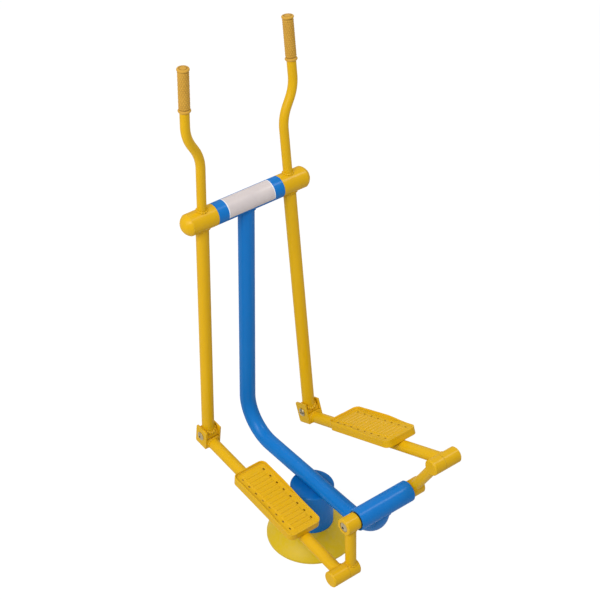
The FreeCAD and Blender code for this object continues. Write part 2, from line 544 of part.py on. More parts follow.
def make_bracket(side, frame):
    """Forked bracket on a beam's front: two cheeks and a low web across their rear, bored for the bolt."""
    body = new_body(f"{side}_hinge_bracket")
    plan = new_sketch(body, f"{side}_fork_plan", "XY_Plane")
    web_face = "Sizes.fork_web - Sizes.fork_rear"
    draw(plan, [(f"-{FORK_OUTSIDE}", "-Sizes.fork_rear"), (FORK_OUTSIDE, "-Sizes.fork_rear"),
                (FORK_OUTSIDE, "Sizes.fork_front"), (FORK_INSIDE, "Sizes.fork_front"),
                (FORK_INSIDE, web_face), (f"-{FORK_INSIDE}", web_face),
                (f"-{FORK_INSIDE}", "Sizes.fork_front"), (f"-{FORK_OUTSIDE}", "Sizes.fork_front")])
    plan.setExpression(".AttachmentOffset.Base.z", "-Sizes.fork_drop")
    pad = body.newObject("PartDesign::Pad", f"{side}_fork_pad")
    pad.Profile = plan
    pad.setExpression("Length", "Sizes.fork_drop + Sizes.fork_rise")
    window = new_sketch(body, f"{side}_fork_window", "XZ_Plane")
    web_top = "(Sizes.beam_diameter / 2 + Sizes.web_margin - Sizes.hinge_rise)"
    draw(window, [(f"-{FORK_INSIDE}", web_top), (FORK_INSIDE, web_top), (FORK_INSIDE, "Sizes.fork_rise"),
                  (f"-{FORK_INSIDE}", "Sizes.fork_rise")])
    hole = new_sketch(body, f"{side}_fork_hole", "YZ_Plane")
    draw_circle(hole, "Sizes.bolt_diameter / 2")
    doc.recompute()
    for profile, name in ((window, "opening"), (hole, "bore")):
        pocket = body.newObject("PartDesign::Pocket", f"{side}_fork_{name}")
        pocket.Profile = profile
        pocket.Type = "ThroughAll"
        pocket.SideType = "Symmetric"
        doc.recompute()
    front = size("fork_front")
    corners = [f"Edge{number}" for number, edge in enumerate(pocket.Shape.Edges, start=1)
               if all(abs(vertex.Y - front) < TOLERANCE for vertex in edge.Vertexes)
               and abs(edge.Vertexes[0].X - edge.Vertexes[-1].X) > TOLERANCE]
    chamfer = body.newObject("PartDesign::Chamfer", f"{side}_fork_chamfer")
    chamfer.Base = (pocket, corners)
    chamfer.setExpression("Size", "Sizes.fork_chamfer")
    body.Tip = chamfer
    keep(f"{side}_hinge_bracket", body, frame)


def make_hinge_bolt(side, frame):
    """Bolt through bracket and eye with its washers and nut."""
    seat = f"({FORK_OUTSIDE} + Sizes.washer_thickness)"
    tail = f"({seat} + Sizes.nut_height + Sizes.bolt_tail)"
    shank = rod(f"{side}_bolt_shank", "Sizes.bolt_diameter / 2", (f"-{tail}", "0", "0"), f"{tail} + {seat}")
    head = hexagon(f"{side}_bolt_head", "Sizes.bolt_head", (seat, "0", "0"), "Sizes.bolt_head_height")
    washer = rod(f"{side}_bolt_washer", "Sizes.washer_diameter / 2", (FORK_OUTSIDE, "0", "0"),
                 "Sizes.washer_thickness")
    keep(f"{side}_hinge_bolt", fuse(f"{side}_hinge_bolt", [shank, head, washer]), frame)
    nut = hexagon(f"{side}_nut_hex", "Sizes.bolt_head", (f"-({seat} + Sizes.nut_height)", "0", "0"),
                  "Sizes.nut_height")
    nut_washer = rod(f"{side}_nut_washer", "Sizes.washer_diameter / 2", (f"-{seat}", "0", "0"),
                     "Sizes.washer_thickness")
    thread = rod(f"{side}_nut_thread", "Sizes.bolt_diameter / 2", (f"-{tail}", "0", "0"), tail)
    blank = fuse(f"{side}_nut_blank", [nut, nut_washer])
    keep(f"{side}_hinge_nut", cut(f"{side}_hinge_nut", blank, [thread]), frame)


def make_beam(side, sign, link):
    """Pedal beam from the hinge bracket to the sleeve on the crank pin."""
    tilted = link.beam_frame() * Placement(Vector(sign * size("arm_offset"), 0, 0), Rotation())
    hinge = tilted * Placement(Vector(0, 0, size("hinge_rise")), Rotation())
    make_bracket(side, hinge)
    make_hinge_bolt(side, outward(hinge, sign))

    along = Rotation(Vector(1, 0, 0), 90)
    length = "Sizes.beam_length - Sizes.fork_rear"
    outer = "Sizes.beam_diameter / 2"
    solid = rod(f"{side}_beam_outside", outer, ("0", "-Sizes.fork_rear", "0"), length, along)
    hollow = rod(f"{side}_beam_inside", f"{outer} - Sizes.beam_wall",
                 ("0", "-Sizes.fork_rear - Sizes.beam_wall", "0"), length, along)
    pin_cope = rod(f"{side}_pin_cope", "Sizes.pin_sleeve_diameter / 2",
                   ("-Sizes.arm_offset", "-Sizes.beam_length", "0"), "2 * Sizes.arm_offset")
    keep(f"{side}_beam_tube", cut(f"{side}_beam_tube", solid, [hollow, pin_cope]), tilted)

    pin_frame = outward(link.pin_frame(), sign)
    radius = "Sizes.pin_sleeve_diameter / 2"
    bore = f"({radius} - Sizes.pin_sleeve_wall)"
    start, end = f"({SOCKET_END} + Sizes.parting_gap)", "(Sizes.arm_offset + Sizes.pin_sleeve_reach)"
    keep(f"{side}_pin_sleeve", ring(f"{side}_pin_sleeve", bore, radius, start, end), pin_frame)
    cap_end = f"({end} + Sizes.pin_cap_thickness)"
    keep(f"{side}_pin_sleeve_cap", turned(f"{side}_pin_sleeve_cap", [
        (end, "0"), (end, radius), (f"{cap_end} - Sizes.pin_cap_chamfer", radius),
        (cap_end, f"{radius} - Sizes.pin_cap_chamfer"), (cap_end, "0")]), pin_frame)
    pin_radius = "Sizes.crank_pin_diameter / 2"
    inner_place = f"({start} + Sizes.pin_bearing_inset)"
    outer_place = f"({end} - Sizes.pin_bearing_inset - Sizes.pin_bearing_width)"
    bearings = [ring(f"{side}_pin_bearing_{number}", pin_radius, bore, place,
                     f"{place} + Sizes.pin_bearing_width")
                for number, place in enumerate((inner_place, outer_place))]
    keep(f"{side}_pin_bearings", group(f"{side}_pin_bearings", bearings), pin_frame)
    keep(f"{side}_crank_pin", ring(f"{side}_crank_pin", "0", pin_radius, start,
                                   f"{outer_place} + Sizes.pin_bearing_width"), pin_frame)
    make_pedal(side, tilted)


def rectangle(sketch, across, along, middle="0"):
    """Rectangle about a point on the sketch's upright axis."""
    left, right = f"-({across}) / 2", f"({across}) / 2"
    low, high = f"({middle}) - ({along}) / 2", f"({middle}) + ({along}) / 2"
    draw(sketch, [(left, low), (right, low), (right, high), (left, high)])


def round_rectangle(sketch, across, along, corner):
    """Rectangle about the sketch's origin with rounded corners."""
    left, right, low, high = f"-({across}) / 2", f"({across}) / 2", f"-({along}) / 2", f"({along}) / 2"
    draw(sketch, [(f"{left} + {corner}", low), (f"{right} - {corner}", low, corner),
                  (right, f"{low} + {corner}"), (right, f"{high} - {corner}", corner),
                  (f"{right} - {corner}", high), (f"{left} + {corner}", high, corner),
                  (left, f"{high} - {corner}"), (left, f"{low} + {corner}", corner)])


def slot(sketch, across, up):
    """Drain slot about a point, with round ends, along the sketch's upright axis."""
    radius = "Sizes.slot_width / 2"
    straight = "(Sizes.slot_length - Sizes.slot_width) / 2"
    left, right = f"{across} - {radius}", f"{across} + {radius}"
    low, high = f"{up} - {straight}", f"{up} + {straight}"
    draw(sketch, [(left, low, radius), (across, f"{low} - {radius}", radius), (right, low),
                  (right, high, radius), (across, f"{high} + {radius}", radius), (left, high)])


def make_pedal(side, tilted):
    """Pressed tread plate: turned-down edge with a lip, raised rim, tread bars and drain slots."""
    name = f"{side}_pedal"
    body = new_body(name)
    blank = new_sketch(body, f"{name}_blank", "XY_Plane")
    rectangle(blank, "Sizes.pedal_width", "Sizes.pedal_length")
    pad = body.newObject("PartDesign::Pad", f"{name}_pad")
    pad.Profile = blank
    pad.Reversed = True
    pad.setExpression("Length", PEDAL_DEPTH)
    doc.recompute()
    upright = [f"Edge{number}" for number, edge in enumerate(pad.Shape.Edges, start=1)
               if abs(edge.Vertexes[0].Z - edge.Vertexes[1].Z) > TOLERANCE]
    corners = body.newObject("PartDesign::Fillet", f"{name}_corners")
    corners.Base = (pad, upright)
    corners.setExpression("Radius", "Sizes.pedal_corner")
    doc.recompute()
    top_edges = [f"Edge{number}" for number, edge in enumerate(corners.Shape.Edges, start=1)
                 if all(abs(vertex.Z) < TOLERANCE for vertex in edge.Vertexes)]
    edge = body.newObject("PartDesign::Fillet", f"{name}_edge")
    edge.Base = (corners, top_edges)
    edge.setExpression("Radius", "Sizes.pedal_edge")
    doc.recompute()
    low = -value(PEDAL_DEPTH)
    underside = [f"Face{number}" for number, face in enumerate(edge.Shape.Faces, start=1)
                 if abs(face.CenterOfMass.z - low) < TOLERANCE]
    shell = body.newObject("PartDesign::Thickness", f"{name}_shell")
    shell.Base = (edge, underside)
    shell.setExpression("Value", "Sizes.pedal_sheet")
    shell.Reversed = True
    doc.recompute()
    fold = new_sketch(body, f"{name}_fold", "XY_Plane")
    fold.setExpression(".AttachmentOffset.Base.z", f"-{PEDAL_DEPTH}")
    inset = "2 * (Sizes.pedal_sheet + Sizes.lip_width)"
    round_rectangle(fold, "Sizes.pedal_width - Sizes.pedal_sheet", "Sizes.pedal_length - Sizes.pedal_sheet",
                    "(Sizes.pedal_corner - Sizes.pedal_sheet / 2)")
    round_rectangle(fold, f"Sizes.pedal_width - {inset}", f"Sizes.pedal_length - {inset}",
                    "(Sizes.pedal_corner - Sizes.pedal_sheet - Sizes.lip_width)")
    lip = body.newObject("PartDesign::Pad", f"{name}_lip")
    lip.Profile = fold
    lip.setExpression("Length", "Sizes.pedal_sheet")
    doc.recompute()
    field = new_sketch(body, f"{name}_field", "XY_Plane")
    rectangle(field, "Sizes.pedal_width - 2 * Sizes.rim_width", "Sizes.pedal_length - 2 * Sizes.rim_width")
    sunk = body.newObject("PartDesign::Pocket", f"{name}_sunk")
    sunk.Profile = field
    sunk.setExpression("Length", "Sizes.rim_height")
    doc.recompute()
    bar = new_sketch(body, f"{name}_bar", "XY_Plane")
    first_bar = "-Sizes.tread_spacing * (Sizes.tread_count - 1) / 2"
    rectangle(bar, "Sizes.tread_length", "Sizes.tread_width", first_bar)
    bar.setExpression(".AttachmentOffset.Base.z", "-Sizes.rim_height")
    tread = body.newObject("PartDesign::Pad", f"{name}_tread")
    tread.Profile = bar
    tread.setExpression("Length", "Sizes.tread_height")
    doc.recompute()
    treads = body.newObject("PartDesign::LinearPattern", f"{name}_treads")
    treads.Originals = [tread]
    treads.Direction = (bar, ["V_Axis"])
    treads.setExpression("Length", "Sizes.tread_spacing * (Sizes.tread_count - 1)")
    treads.setExpression("Occurrences", "Sizes.tread_count")
    body.Tip = treads
    doc.recompute()
    drill = new_sketch(body, f"{name}_drill", "XY_Plane")
    first_slot = "-Sizes.slot_spacing * (Sizes.slot_count - 1) / 2"
    for row in ("-Sizes.slot_rows / 2", "Sizes.slot_rows / 2"):
        slot(drill, row, first_slot)
    hole = body.newObject("PartDesign::Pocket", f"{name}_hole")
    hole.Profile = drill
    hole.Type = "ThroughAll"
    doc.recompute()
    holes = body.newObject("PartDesign::LinearPattern", f"{name}_holes")
    holes.Originals = [hole]
    holes.Direction = (drill, ["V_Axis"])
    holes.setExpression("Length", "Sizes.slot_spacing * (Sizes.slot_count - 1)")
    holes.setExpression("Occurrences", "Sizes.slot_count")
    body.Tip = holes
    middle = f"(Sizes.{side}_pedal_rear + Sizes.pedal_length / 2 - Sizes.beam_length)"
    keep(name, body, tilted * Placement(Vector(0, value(middle), size("pedal_rise")), Rotation()))

    top = "(Sizes.pedal_rise - Sizes.pedal_sheet)"
    bottom = "(Sizes.beam_diameter / 2 - Sizes.saddle_wrap)"
    saddles = []
    for number, shift in enumerate((-0.5, 0.5)):
        block = doc.addObject("Part::Box", f"{side}_saddle_block_{number}")
        block.setExpression("Length", "Sizes.saddle_width")
        block.setExpression("Width", "Sizes.saddle_length")
        block.setExpression("Height", f"{top} - {bottom}")
        rear = f"{middle} + {shift} * Sizes.saddle_spacing - Sizes.saddle_length / 2"
        for axis, expression in zip("xyz", ("-Sizes.saddle_width / 2", rear, bottom)):
            block.setExpression(f".Placement.Base.{axis}", expression)
        groove = rod(f"{side}_saddle_groove_{number}", "Sizes.beam_diameter / 2", ("0", "0", "0"),
                     "Sizes.beam_length", Rotation(Vector(1, 0, 0), 90))
        saddles.append(cut(f"{side}_saddle_{number}", block, [groove]))
    keep(f"{side}_pedal_saddles", group(f"{side}_pedal_saddles", saddles), tilted)


def check_and_export():
    """Stops on any failed object, then writes each piece to its own file."""
    doc.recompute()
    failed = [item.Label for item in doc.Objects if {"Invalid", "Error"} & set(item.State)]
    for label, piece in pieces.items():
        if piece.Shape.isNull() or not piece.Shape.isValid():
            failed.append(label)
    if failed:
        raise RuntimeError("failed objects: " + ", ".join(failed))
    os.makedirs("parts", exist_ok=True)
    for label, piece in pieces.items():
        piece.Shape.exportStep(f"parts/{label}.step")
    print(f"wrote {len(pieces)} pieces")


def main():
    make_ground_parts()
    make_frame_tubes()
    make_crank_axle()
    for side, sign in SIDES.items():
        link = Linkage(size(f"{side}_crank_angle"))
        print(f"{side} rest angles: crank {link.crank_angle:.3f}, arm {link.arm_angle:.3f}, "
              f"beam {link.beam_angle:.3f}, hinge {link.hinge_y:.3f} {link.hinge_z:.3f}, "
              f"pin {link.pin_y:.3f} {link.pin_z:.3f}")
        make_crank(side, sign, link)
        make_arm(side, sign, link)
        make_beam(side, sign, link)
    check_and_export()


main()
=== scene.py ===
"""Dresses the outdoor cross trainer: paint, rubber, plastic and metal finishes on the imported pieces, moulded
grips, pedal treads and guards, fasteners and weld beads, and the plain studio that shows it."""

import json
import logging
import math
from dataclasses import dataclass
from enum import Enum
from typing import Callable, ClassVar, Dict, List, Optional, Sequence, Tuple

import bmesh
import bpy
from mathutils import Matrix, Vector

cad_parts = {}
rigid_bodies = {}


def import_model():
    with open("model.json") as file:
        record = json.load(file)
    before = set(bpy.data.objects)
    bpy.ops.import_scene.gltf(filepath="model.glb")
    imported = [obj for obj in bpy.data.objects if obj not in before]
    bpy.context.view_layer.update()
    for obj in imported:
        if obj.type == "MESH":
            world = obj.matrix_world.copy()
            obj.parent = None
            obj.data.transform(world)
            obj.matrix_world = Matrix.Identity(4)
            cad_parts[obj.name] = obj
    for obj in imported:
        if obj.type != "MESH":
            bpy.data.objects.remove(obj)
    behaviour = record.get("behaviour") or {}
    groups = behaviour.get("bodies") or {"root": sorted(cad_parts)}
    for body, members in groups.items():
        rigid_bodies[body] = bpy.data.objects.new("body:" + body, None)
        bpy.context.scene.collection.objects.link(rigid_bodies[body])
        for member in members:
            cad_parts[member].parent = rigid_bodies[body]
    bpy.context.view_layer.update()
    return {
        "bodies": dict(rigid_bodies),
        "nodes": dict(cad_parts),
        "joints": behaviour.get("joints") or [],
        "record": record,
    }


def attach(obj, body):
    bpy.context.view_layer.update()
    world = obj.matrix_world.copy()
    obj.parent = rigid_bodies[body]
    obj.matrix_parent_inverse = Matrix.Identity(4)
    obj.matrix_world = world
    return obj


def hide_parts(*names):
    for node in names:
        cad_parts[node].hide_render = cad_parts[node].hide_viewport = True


LOG = logging.getLogger("cross_trainer")
PICTURE_SIDE = 600
SHARP_ANGLE = math.radians(38)
POLE_MERGE = 1e-7
DOUBLE_MERGE = 1e-6
NEAR = 1e-5
WHITE = (1.0, 1.0, 1.0, 1.0)
BEVEL_SAMPLES = 6

Point = Tuple[float, float]
Spot = Tuple[float, float, float]
Colour = Tuple[int, int, int]
Values = Dict[str, float]
Socket = bpy.types.NodeSocket
Mesh = bmesh.types.BMesh


class Body(Enum):
    """The moving bodies that pieces ride on."""

    FRAME = "frame"
    CRANKSET = "crankset"
    LEFT_ARM = "left_arm"
    RIGHT_ARM = "right_arm"
    LEFT_BEAM = "left_beam"
    RIGHT_BEAM = "right_beam"


class Slot(Enum):
    """The finishes that the machine is made in."""

    BLUE_PAINT = "blue_paint"
    YELLOW_PAINT = "yellow_paint"
    COVER_PLASTIC = "cover_plastic"
    GRIP_RUBBER = "grip_rubber"
    PALE_LABEL = "pale_label"
    ZINC_STEEL = "zinc_steel"
    BARE_STEEL = "bare_steel"
    BUSH_BRASS = "bush_brass"


class Side(Enum):
    """The user's two sides; the value is the sign of X there."""

    LEFT = -1
    RIGHT = 1

    @property
    def word(self) -> str:
        """The side's name as the pieces carry it."""
        return self.name.lower()


class Effect(Enum):
    """The shader node groups that finishes share."""

    SKIN = "surface_skin"
    # edge mask: wear, and on paint a painted edge highlight
    WEAR = "edge_wear"
    DUST = "settled_dust"
    SCRATCHES = "fine_scratches"
    # occlusion mask: painted shade and dirt in crevices and where pieces meet
    CREVICE = "crevice_grime"
    MARGIN = "end_margin"


def linear(colour: Colour) -> Tuple[float, ...]:
    """Gives the scene-linear colour of a screen colour.

    Args:
        colour: Red, green and blue from 0 to 255.

    Returns:
        Four numbers for a shader socket.
    """
    parts = [value / 255 for value in colour]
    return *(v / 12.92 if v <= 0.04045 else ((v + 0.055) / 1.055) ** 2.4 for v in parts), 1.0


class Graph:
    """Places and links the nodes of one shader tree."""

    def __init__(self, tree: bpy.types.NodeTree) -> None:
        """Takes the tree of a material or of a shader node group."""
        self.tree = tree

    def feed(self, target: Socket, value: object) -> None:
        """Links a socket to an input, or sets the input to a value.

        Args:
            target: The input.
            value: A socket, or the value to set.
        """
        if isinstance(value, bpy.types.NodeSocket):
            self.tree.links.new(value, target)
        else:
            target.default_value = value

    def node(self, kind: str, *values: object, settings: Optional[Dict[str, object]] = None,
             **inputs: object) -> bpy.types.Node:
        """Adds a node and sets or links its inputs.

        Args:
            kind: The node's type name without its ShaderNode prefix.
            *values: A value or a socket for each input, in their order.
            settings: The node's own settings.
            **inputs: Input names, with spaces as underscores, and a value or a socket for each.

        Returns:
            The new node.
        """
        made = self.tree.nodes.new(f"ShaderNode{kind}")
        for name, setting in (settings or {}).items():
            setattr(made, name, setting)
        for number, value in enumerate(values):
            self.feed(made.inputs[number], value)
        for name, value in inputs.items():
            self.feed(made.inputs[name.replace("_", " ")], value)
        return made

    def math(self, operation: str, first: object, second: object = 0.0) -> Socket:
        """Calculates with one or two values and holds the result between 0 and 1."""
        settings = {"operation": operation, "use_clamp": True}
        return self.node("Math", first, second, settings=settings).outputs[0]

    def vectors(self, operation: str, first: Socket, second: Socket) -> bpy.types.NodeOutputs:
        """Calculates with two vectors."""
        return self.node("VectorMath", first, second, settings={"operation": operation}).outputs

    def span(self, value: Socket, low: object, high: object, to_low: float = 0.0,
             to_high: float = 1.0) -> Socket:
        """Maps a value from one range to another and holds it there."""
        limits = {"From_Min": low, "From_Max": high, "To_Min": to_low, "To_Max": to_high}
        return self.node("MapRange", Value=value, **limits).outputs["Result"]

    def blend(self, share: Socket, first: object, second: object) -> Socket:
        """Mixes two colours, with a share of the second."""
        made = self.node("Mix", settings={"data_type": "RGBA"}, Factor=share, A=first, B=second)
        return made.outputs["Result"]

    def noise(self, scale: object, detail: float, where: Optional[Socket] = None) -> Socket:
        """Adds noise on Object coordinates or others, with its features to a metre and its octaves."""
        spot = where or self.node("TexCoord").outputs["Object"]
        return self.node("TexNoise", Vector=spot, Scale=scale, Detail=detail).outputs["Fac"]


class SharedEffects:
    """Builds the shader node groups, each once."""

    CREVICE_SAMPLES = 8
    FLECKS = 2600.0
    FLECK_RANGE = (0.55, 0.8)
    TONE_RANGE = (0.3, 0.7)
    EDGE_RANGE = (0.995, 0.9)
    BREAK_RANGE = (0.35, 0.62)
    UPWARD_RANGE = (0.45, 1.0)
    CLUMP_RANGE = (0.42, 0.75)
    SCRATCH_RANGE = (0.68, 0.78)
    SHUT_CREVICE = 0.5

    def build(self) -> None:
        """Makes every group."""
        for make in (self.make_skin, self.make_wear_and_highlight, self.make_dust, self.make_scratches, self.make_crevice,
                     self.make_margin):
            make()

    @staticmethod
    def group(effect: Effect, inputs: Sequence[str], outputs: Sequence[str] = ("Mask",)
              ) -> Tuple[Graph, bpy.types.NodeOutputs, bpy.types.NodeInputs]:
        """Starts a group with named sockets.

        Args:
            effect: The group's effect.
            inputs: Its inputs.
            outputs: Its outputs.

        Returns:
            The group's graph, what it is given and what it puts out.
        """
        tree = bpy.data.node_groups.new(effect.value, "ShaderNodeTree")
        for way, labels in (("INPUT", inputs), ("OUTPUT", outputs)):
            for label in labels:
                tree.interface.new_socket(name=label, in_out=way, socket_type="NodeSocketFloat")
        entry, leave = tree.nodes.new("NodeGroupInput"), tree.nodes.new("NodeGroupOutput")
        return Graph(tree), entry.outputs, leave.inputs

    def make_skin(self) -> None:
        """Makes the fine surface of a sprayed or moulded skin: relief, slow change of tone and flecks."""
        graph, given, result = self.group(Effect.SKIN, ("Grain", "Patch"), ("Height", "Tone", "Fleck"))
        graph.feed(result["Height"], graph.noise(given["Grain"], detail=1.0))
        graph.feed(result["Tone"], graph.span(graph.noise(given["Patch"], detail=3.0), *self.TONE_RANGE))
        graph.feed(result["Fleck"], graph.span(graph.noise(self.FLECKS, detail=0.0), *self.FLECK_RANGE))

    def make_wear_and_highlight(self) -> None:
        """Makes the mask that follows edges and corners and breaks up along them, for wear and painted edge
        highlights.
        """
        graph, given, result = self.group(Effect.WEAR, ("Width", "Break"))
        bent = graph.node("Bevel", settings={"samples": BEVEL_SAMPLES}, Radius=given["Width"])
        facing = graph.node("NewGeometry").outputs["Normal"]
        same = graph.vectors("DOT_PRODUCT", bent.outputs["Normal"], facing)
        edge = graph.span(same["Value"], *self.EDGE_RANGE)
        broken = graph.span(graph.noise(given["Break"], detail=4.0), *self.BREAK_RANGE)
        graph.feed(result["Mask"], graph.math("MULTIPLY", edge, broken))

    def make_dust(self) -> None:
        """Makes the mask of the dust that settles on faces that look up."""
        graph, given, result = self.group(Effect.DUST, ("Clump",))
        split = graph.node("SeparateXYZ", Vector=graph.node("TexCoord").outputs["Normal"])
        upward = graph.span(split.outputs["Z"], *self.UPWARD_RANGE)
        clumps = graph.span(graph.noise(given["Clump"], detail=6.0), *self.CLUMP_RANGE)
        graph.feed(result["Mask"], graph.math("MULTIPLY", upward, clumps))

    def make_scratches(self) -> None:
        """Makes the mask of short fine scratches that run mostly one way."""
        graph, given, result = self.group(Effect.SCRATCHES, ("Length", "Fineness"))
        stretch = graph.node("CombineXYZ", given["Fineness"], given["Length"], given["Fineness"])
        here = graph.node("TexCoord").outputs["Object"]
        spot = graph.vectors("MULTIPLY", here, stretch.outputs["Vector"])
        lines = graph.noise(1.0, detail=1.0, where=spot["Vector"])
        graph.feed(result["Mask"], graph.span(lines, *self.SCRATCH_RANGE))

    def make_crevice(self) -> None:
        """Makes the mask of painted shade and dirt: darker where occlusion finds a piece's own grooves and, by
        a share, where pieces meet.
        """
        graph, given, result = self.group(Effect.CREVICE, ("Pocket", "Root", "Open", "Share"))
        shut = []
        for reach, own in (("Pocket", True), ("Root", False)):
            settings = {"samples": self.CREVICE_SAMPLES, "only_local": own}
            free = graph.node("AmbientOcclusion", settings=settings, Distance=given[reach]).outputs["AO"]
            shut.append(graph.span(free, given["Open"], self.SHUT_CREVICE))
        roots = graph.math("MULTIPLY", shut[1], given["Share"])
        graph.feed(result["Mask"], graph.math("MAXIMUM", shut[0], roots))

    def make_margin(self) -> None:
        """Makes the mask of the margin at both ends of a sheet, along X."""
        graph, given, result = self.group(Effect.MARGIN, ("Start", "End"))
        split = graph.node("SeparateXYZ", Vector=graph.node("TexCoord").outputs["Object"])
        reach = graph.math("ABSOLUTE", split.outputs["X"])
        graph.feed(result["Mask"], graph.span(reach, given["Start"], given["End"]))


class FinishGraph(Graph):
    """A finish's own material with its Principled shader."""

    def __init__(self, name: str) -> None:
        """Makes the material.

        Args:
            name: The material's name.
        """
        self.material = bpy.data.materials.new(name)
        self.material.use_nodes = True
        super().__init__(self.material.node_tree)
        self.shader = self.tree.nodes["Principled BSDF"]

    def effect(self, effect: Effect, inputs: Values) -> bpy.types.NodeOutputs:
        """Places a shared effect with this finish's own values."""
        group = bpy.data.node_groups[effect.value]
        return self.node("Group", settings={"node_tree": group}, **inputs).outputs

    def dress(self, **values: object) -> None:
        """Sets or links the shader's inputs, with spaces in their names as underscores."""
        for name, value in values.items():
            self.feed(self.shader.inputs[name.replace("_", " ")], value)


@dataclass(frozen=True)
class Skin:
    """Fine grain and slow tone changes: features to a metre, the second tone's share, and the relief."""

    grain: float
    patch: float
    share: float
    depth: float
    strength: float
    edge: float


@dataclass(frozen=True)
class Layer:
    """A colour that a shared effect lays over a finish, and how much rougher the finish gets there."""

    effect: Effect
    inputs: Values
    colour: Colour
    share: float = 1.0
    matt: float = 0.0
    mask: str = "Mask"


@dataclass(frozen=True)
class Finish:
    """What every finish has: two tones, a range of roughness, a skin, layers and plain values."""

    slot: Slot
    colour: Colour
    second: Colour
    roughness: Point
    skin: ClassVar[Skin]
    plain: ClassVar[Values]
    coat: ClassVar[float] = 0.0
    coat_fade: ClassVar[Point] = (0.4, 0.8)

    def layers(self) -> Sequence[Layer]:
        """The layers over the two tones, from the lowest up."""
        return ()

    def make(self) -> bpy.types.Material:
        """Builds the finish.

        Returns:
            The material.
        """
        graph = FinishGraph(self.slot.value)
        skin = graph.effect(Effect.SKIN, {"Grain": self.skin.grain, "Patch": self.skin.patch})
        share = graph.math("MULTIPLY", skin["Tone"], self.skin.share)
        colour = graph.blend(share, linear(self.colour), linear(self.second))
        rough = graph.span(skin["Tone"], 0.0, 1.0, *self.roughness)
        for layer in self.layers():
            mask = graph.effect(layer.effect, layer.inputs)[layer.mask]
            colour = graph.blend(graph.math("MULTIPLY", mask, layer.share), colour, linear(layer.colour))
            if layer.matt:
                rough = graph.math("ADD", graph.math("MULTIPLY", mask, layer.matt), rough)
        soft = graph.node("Bevel", settings={"samples": BEVEL_SAMPLES}, Radius=self.skin.edge)
        bump = graph.node("Bump", Height=skin["Height"], Strength=self.skin.strength,
                          Distance=self.skin.depth, Normal=soft.outputs["Normal"])
        graph.dress(Base_Color=colour, Roughness=rough, Normal=bump.outputs["Normal"], **self.plain)
        if self.coat:
            facing = graph.node("LayerWeight").outputs["Facing"]
            graph.dress(Coat_Weight=graph.span(facing, *self.coat_fade, self.coat, 0.0))
        return graph.material


@dataclass(frozen=True)
class PaintFinish(Finish):
    """Glossy powder coat with orange peel, slow tone changes, worn edges with painted highlights, painted
    shade and dirt in crevices.
    """

    # lighter edge colour: wear and a painted edge highlight
    rubbed_and_highlight: Colour
    # darker crevice colour: painted shade and dirt
    grime: Colour
    dust: Colour = (214, 206, 190)
    skin: ClassVar[Skin] = Skin(grain=620.0, patch=6.0, share=0.35, depth=0.0004, strength=0.09, edge=0.0012)
    plain: ClassVar[Values] = {"Coat_Roughness": 0.25, "Specular_IOR_Level": 0.03}
    coat: ClassVar[float] = 0.26

    def layers(self) -> Sequence[Layer]:
        """Worn edges with painted highlights, painted shade and dirt in crevices, and dust."""
        crevice = {"Pocket": 0.006, "Root": 0.006, "Open": 0.88, "Share": 0.2}
        # edges lighter as wear and painted highlight
        return (Layer(Effect.WEAR, {"Width": 0.0016, "Break": 150.0}, self.rubbed_and_highlight, share=0.55),
                # crevices darker as painted shade and dirt, from ambient occlusion
                Layer(Effect.CREVICE, crevice, self.grime),
                Layer(Effect.DUST, {"Clump": 40.0}, self.dust, share=0.015, matt=0.06))


@dataclass(frozen=True)
class PlasticFinish(Finish):
    """Moulded plastic with a fine grain, a faint haze from the sun and settled dust."""

    worn: Colour = (236, 226, 150)
    dust: Colour = (205, 198, 176)
    skin: ClassVar[Skin] = Skin(grain=1500.0, patch=11.0, share=0.4, depth=0.0003, strength=0.16, edge=0.0015)
    plain: ClassVar[Values] = {"Specular_IOR_Level": 0.24}

    def layers(self) -> Sequence[Layer]:
        """Wear and dust."""
        return (Layer(Effect.WEAR, {"Width": 0.003, "Break": 110.0}, self.worn, share=0.4),
                Layer(Effect.DUST, {"Clump": 60.0}, self.dust, share=0.16, matt=0.2))


@dataclass(frozen=True)
class RubberFinish(Finish):
    """Soft ochre grip rubber: matt, pebbled, darker between its nubs with painted shade and dirt."""

    # colour between the nubs: painted shade and dirt
    grime: Colour = (104, 68, 22)
    fleck: Colour = (166, 116, 40)
    skin: ClassVar[Skin] = Skin(grain=2200.0, patch=38.0, share=0.55, depth=0.0002, strength=0.35,
                                edge=0.0005)
    plain: ClassVar[Values] = {"Specular_IOR_Level": 0.16, "Sheen_Weight": 0.05}

    def layers(self) -> Sequence[Layer]:
        """Painted shade and dirt between the nubs, and flecks."""
        return (Layer(Effect.CREVICE, {"Pocket": 0.004, "Root": 0.003, "Open": 0.94}, self.grime),
                Layer(Effect.SKIN, {}, self.fleck, share=0.25, mask="Fleck"))


@dataclass(frozen=True)
class LabelFinish(Finish):
    """Bare pale vinyl with a white margin at both ends and faint creases."""

    margin: Colour
    scratched: Colour = (176, 172, 174)
    skin: ClassVar[Skin] = Skin(grain=420.0, patch=22.0, share=0.5, depth=0.0003, strength=0.12, edge=0.0003)
    plain: ClassVar[Values] = {"Specular_IOR_Level": 0.3}

    def layers(self) -> Sequence[Layer]:
        """The margins and the scratches."""
        return (Layer(Effect.MARGIN, {"Start": 0.0915, "End": 0.0919}, self.margin),
                Layer(Effect.SCRATCHES, {"Length": 60.0, "Fineness": 700.0}, self.scratched, share=0.2))


@dataclass(frozen=True)
class MetalFinish(Finish):
    """Plated or machined metal with fine scratches and a cloudy tone."""

    scored: Colour = (232, 230, 224)
    skin: ClassVar[Skin] = Skin(grain=1800.0, patch=95.0, share=1.0, depth=0.0001, strength=0.12, edge=0.0005)
    plain: ClassVar[Values] = {"Metallic": 1.0}

    def layers(self) -> Sequence[Layer]:
        """The scratches."""
        return (Layer(Effect.SCRATCHES, {"Length": 110.0, "Fineness": 2400.0}, self.scored, share=0.5),)


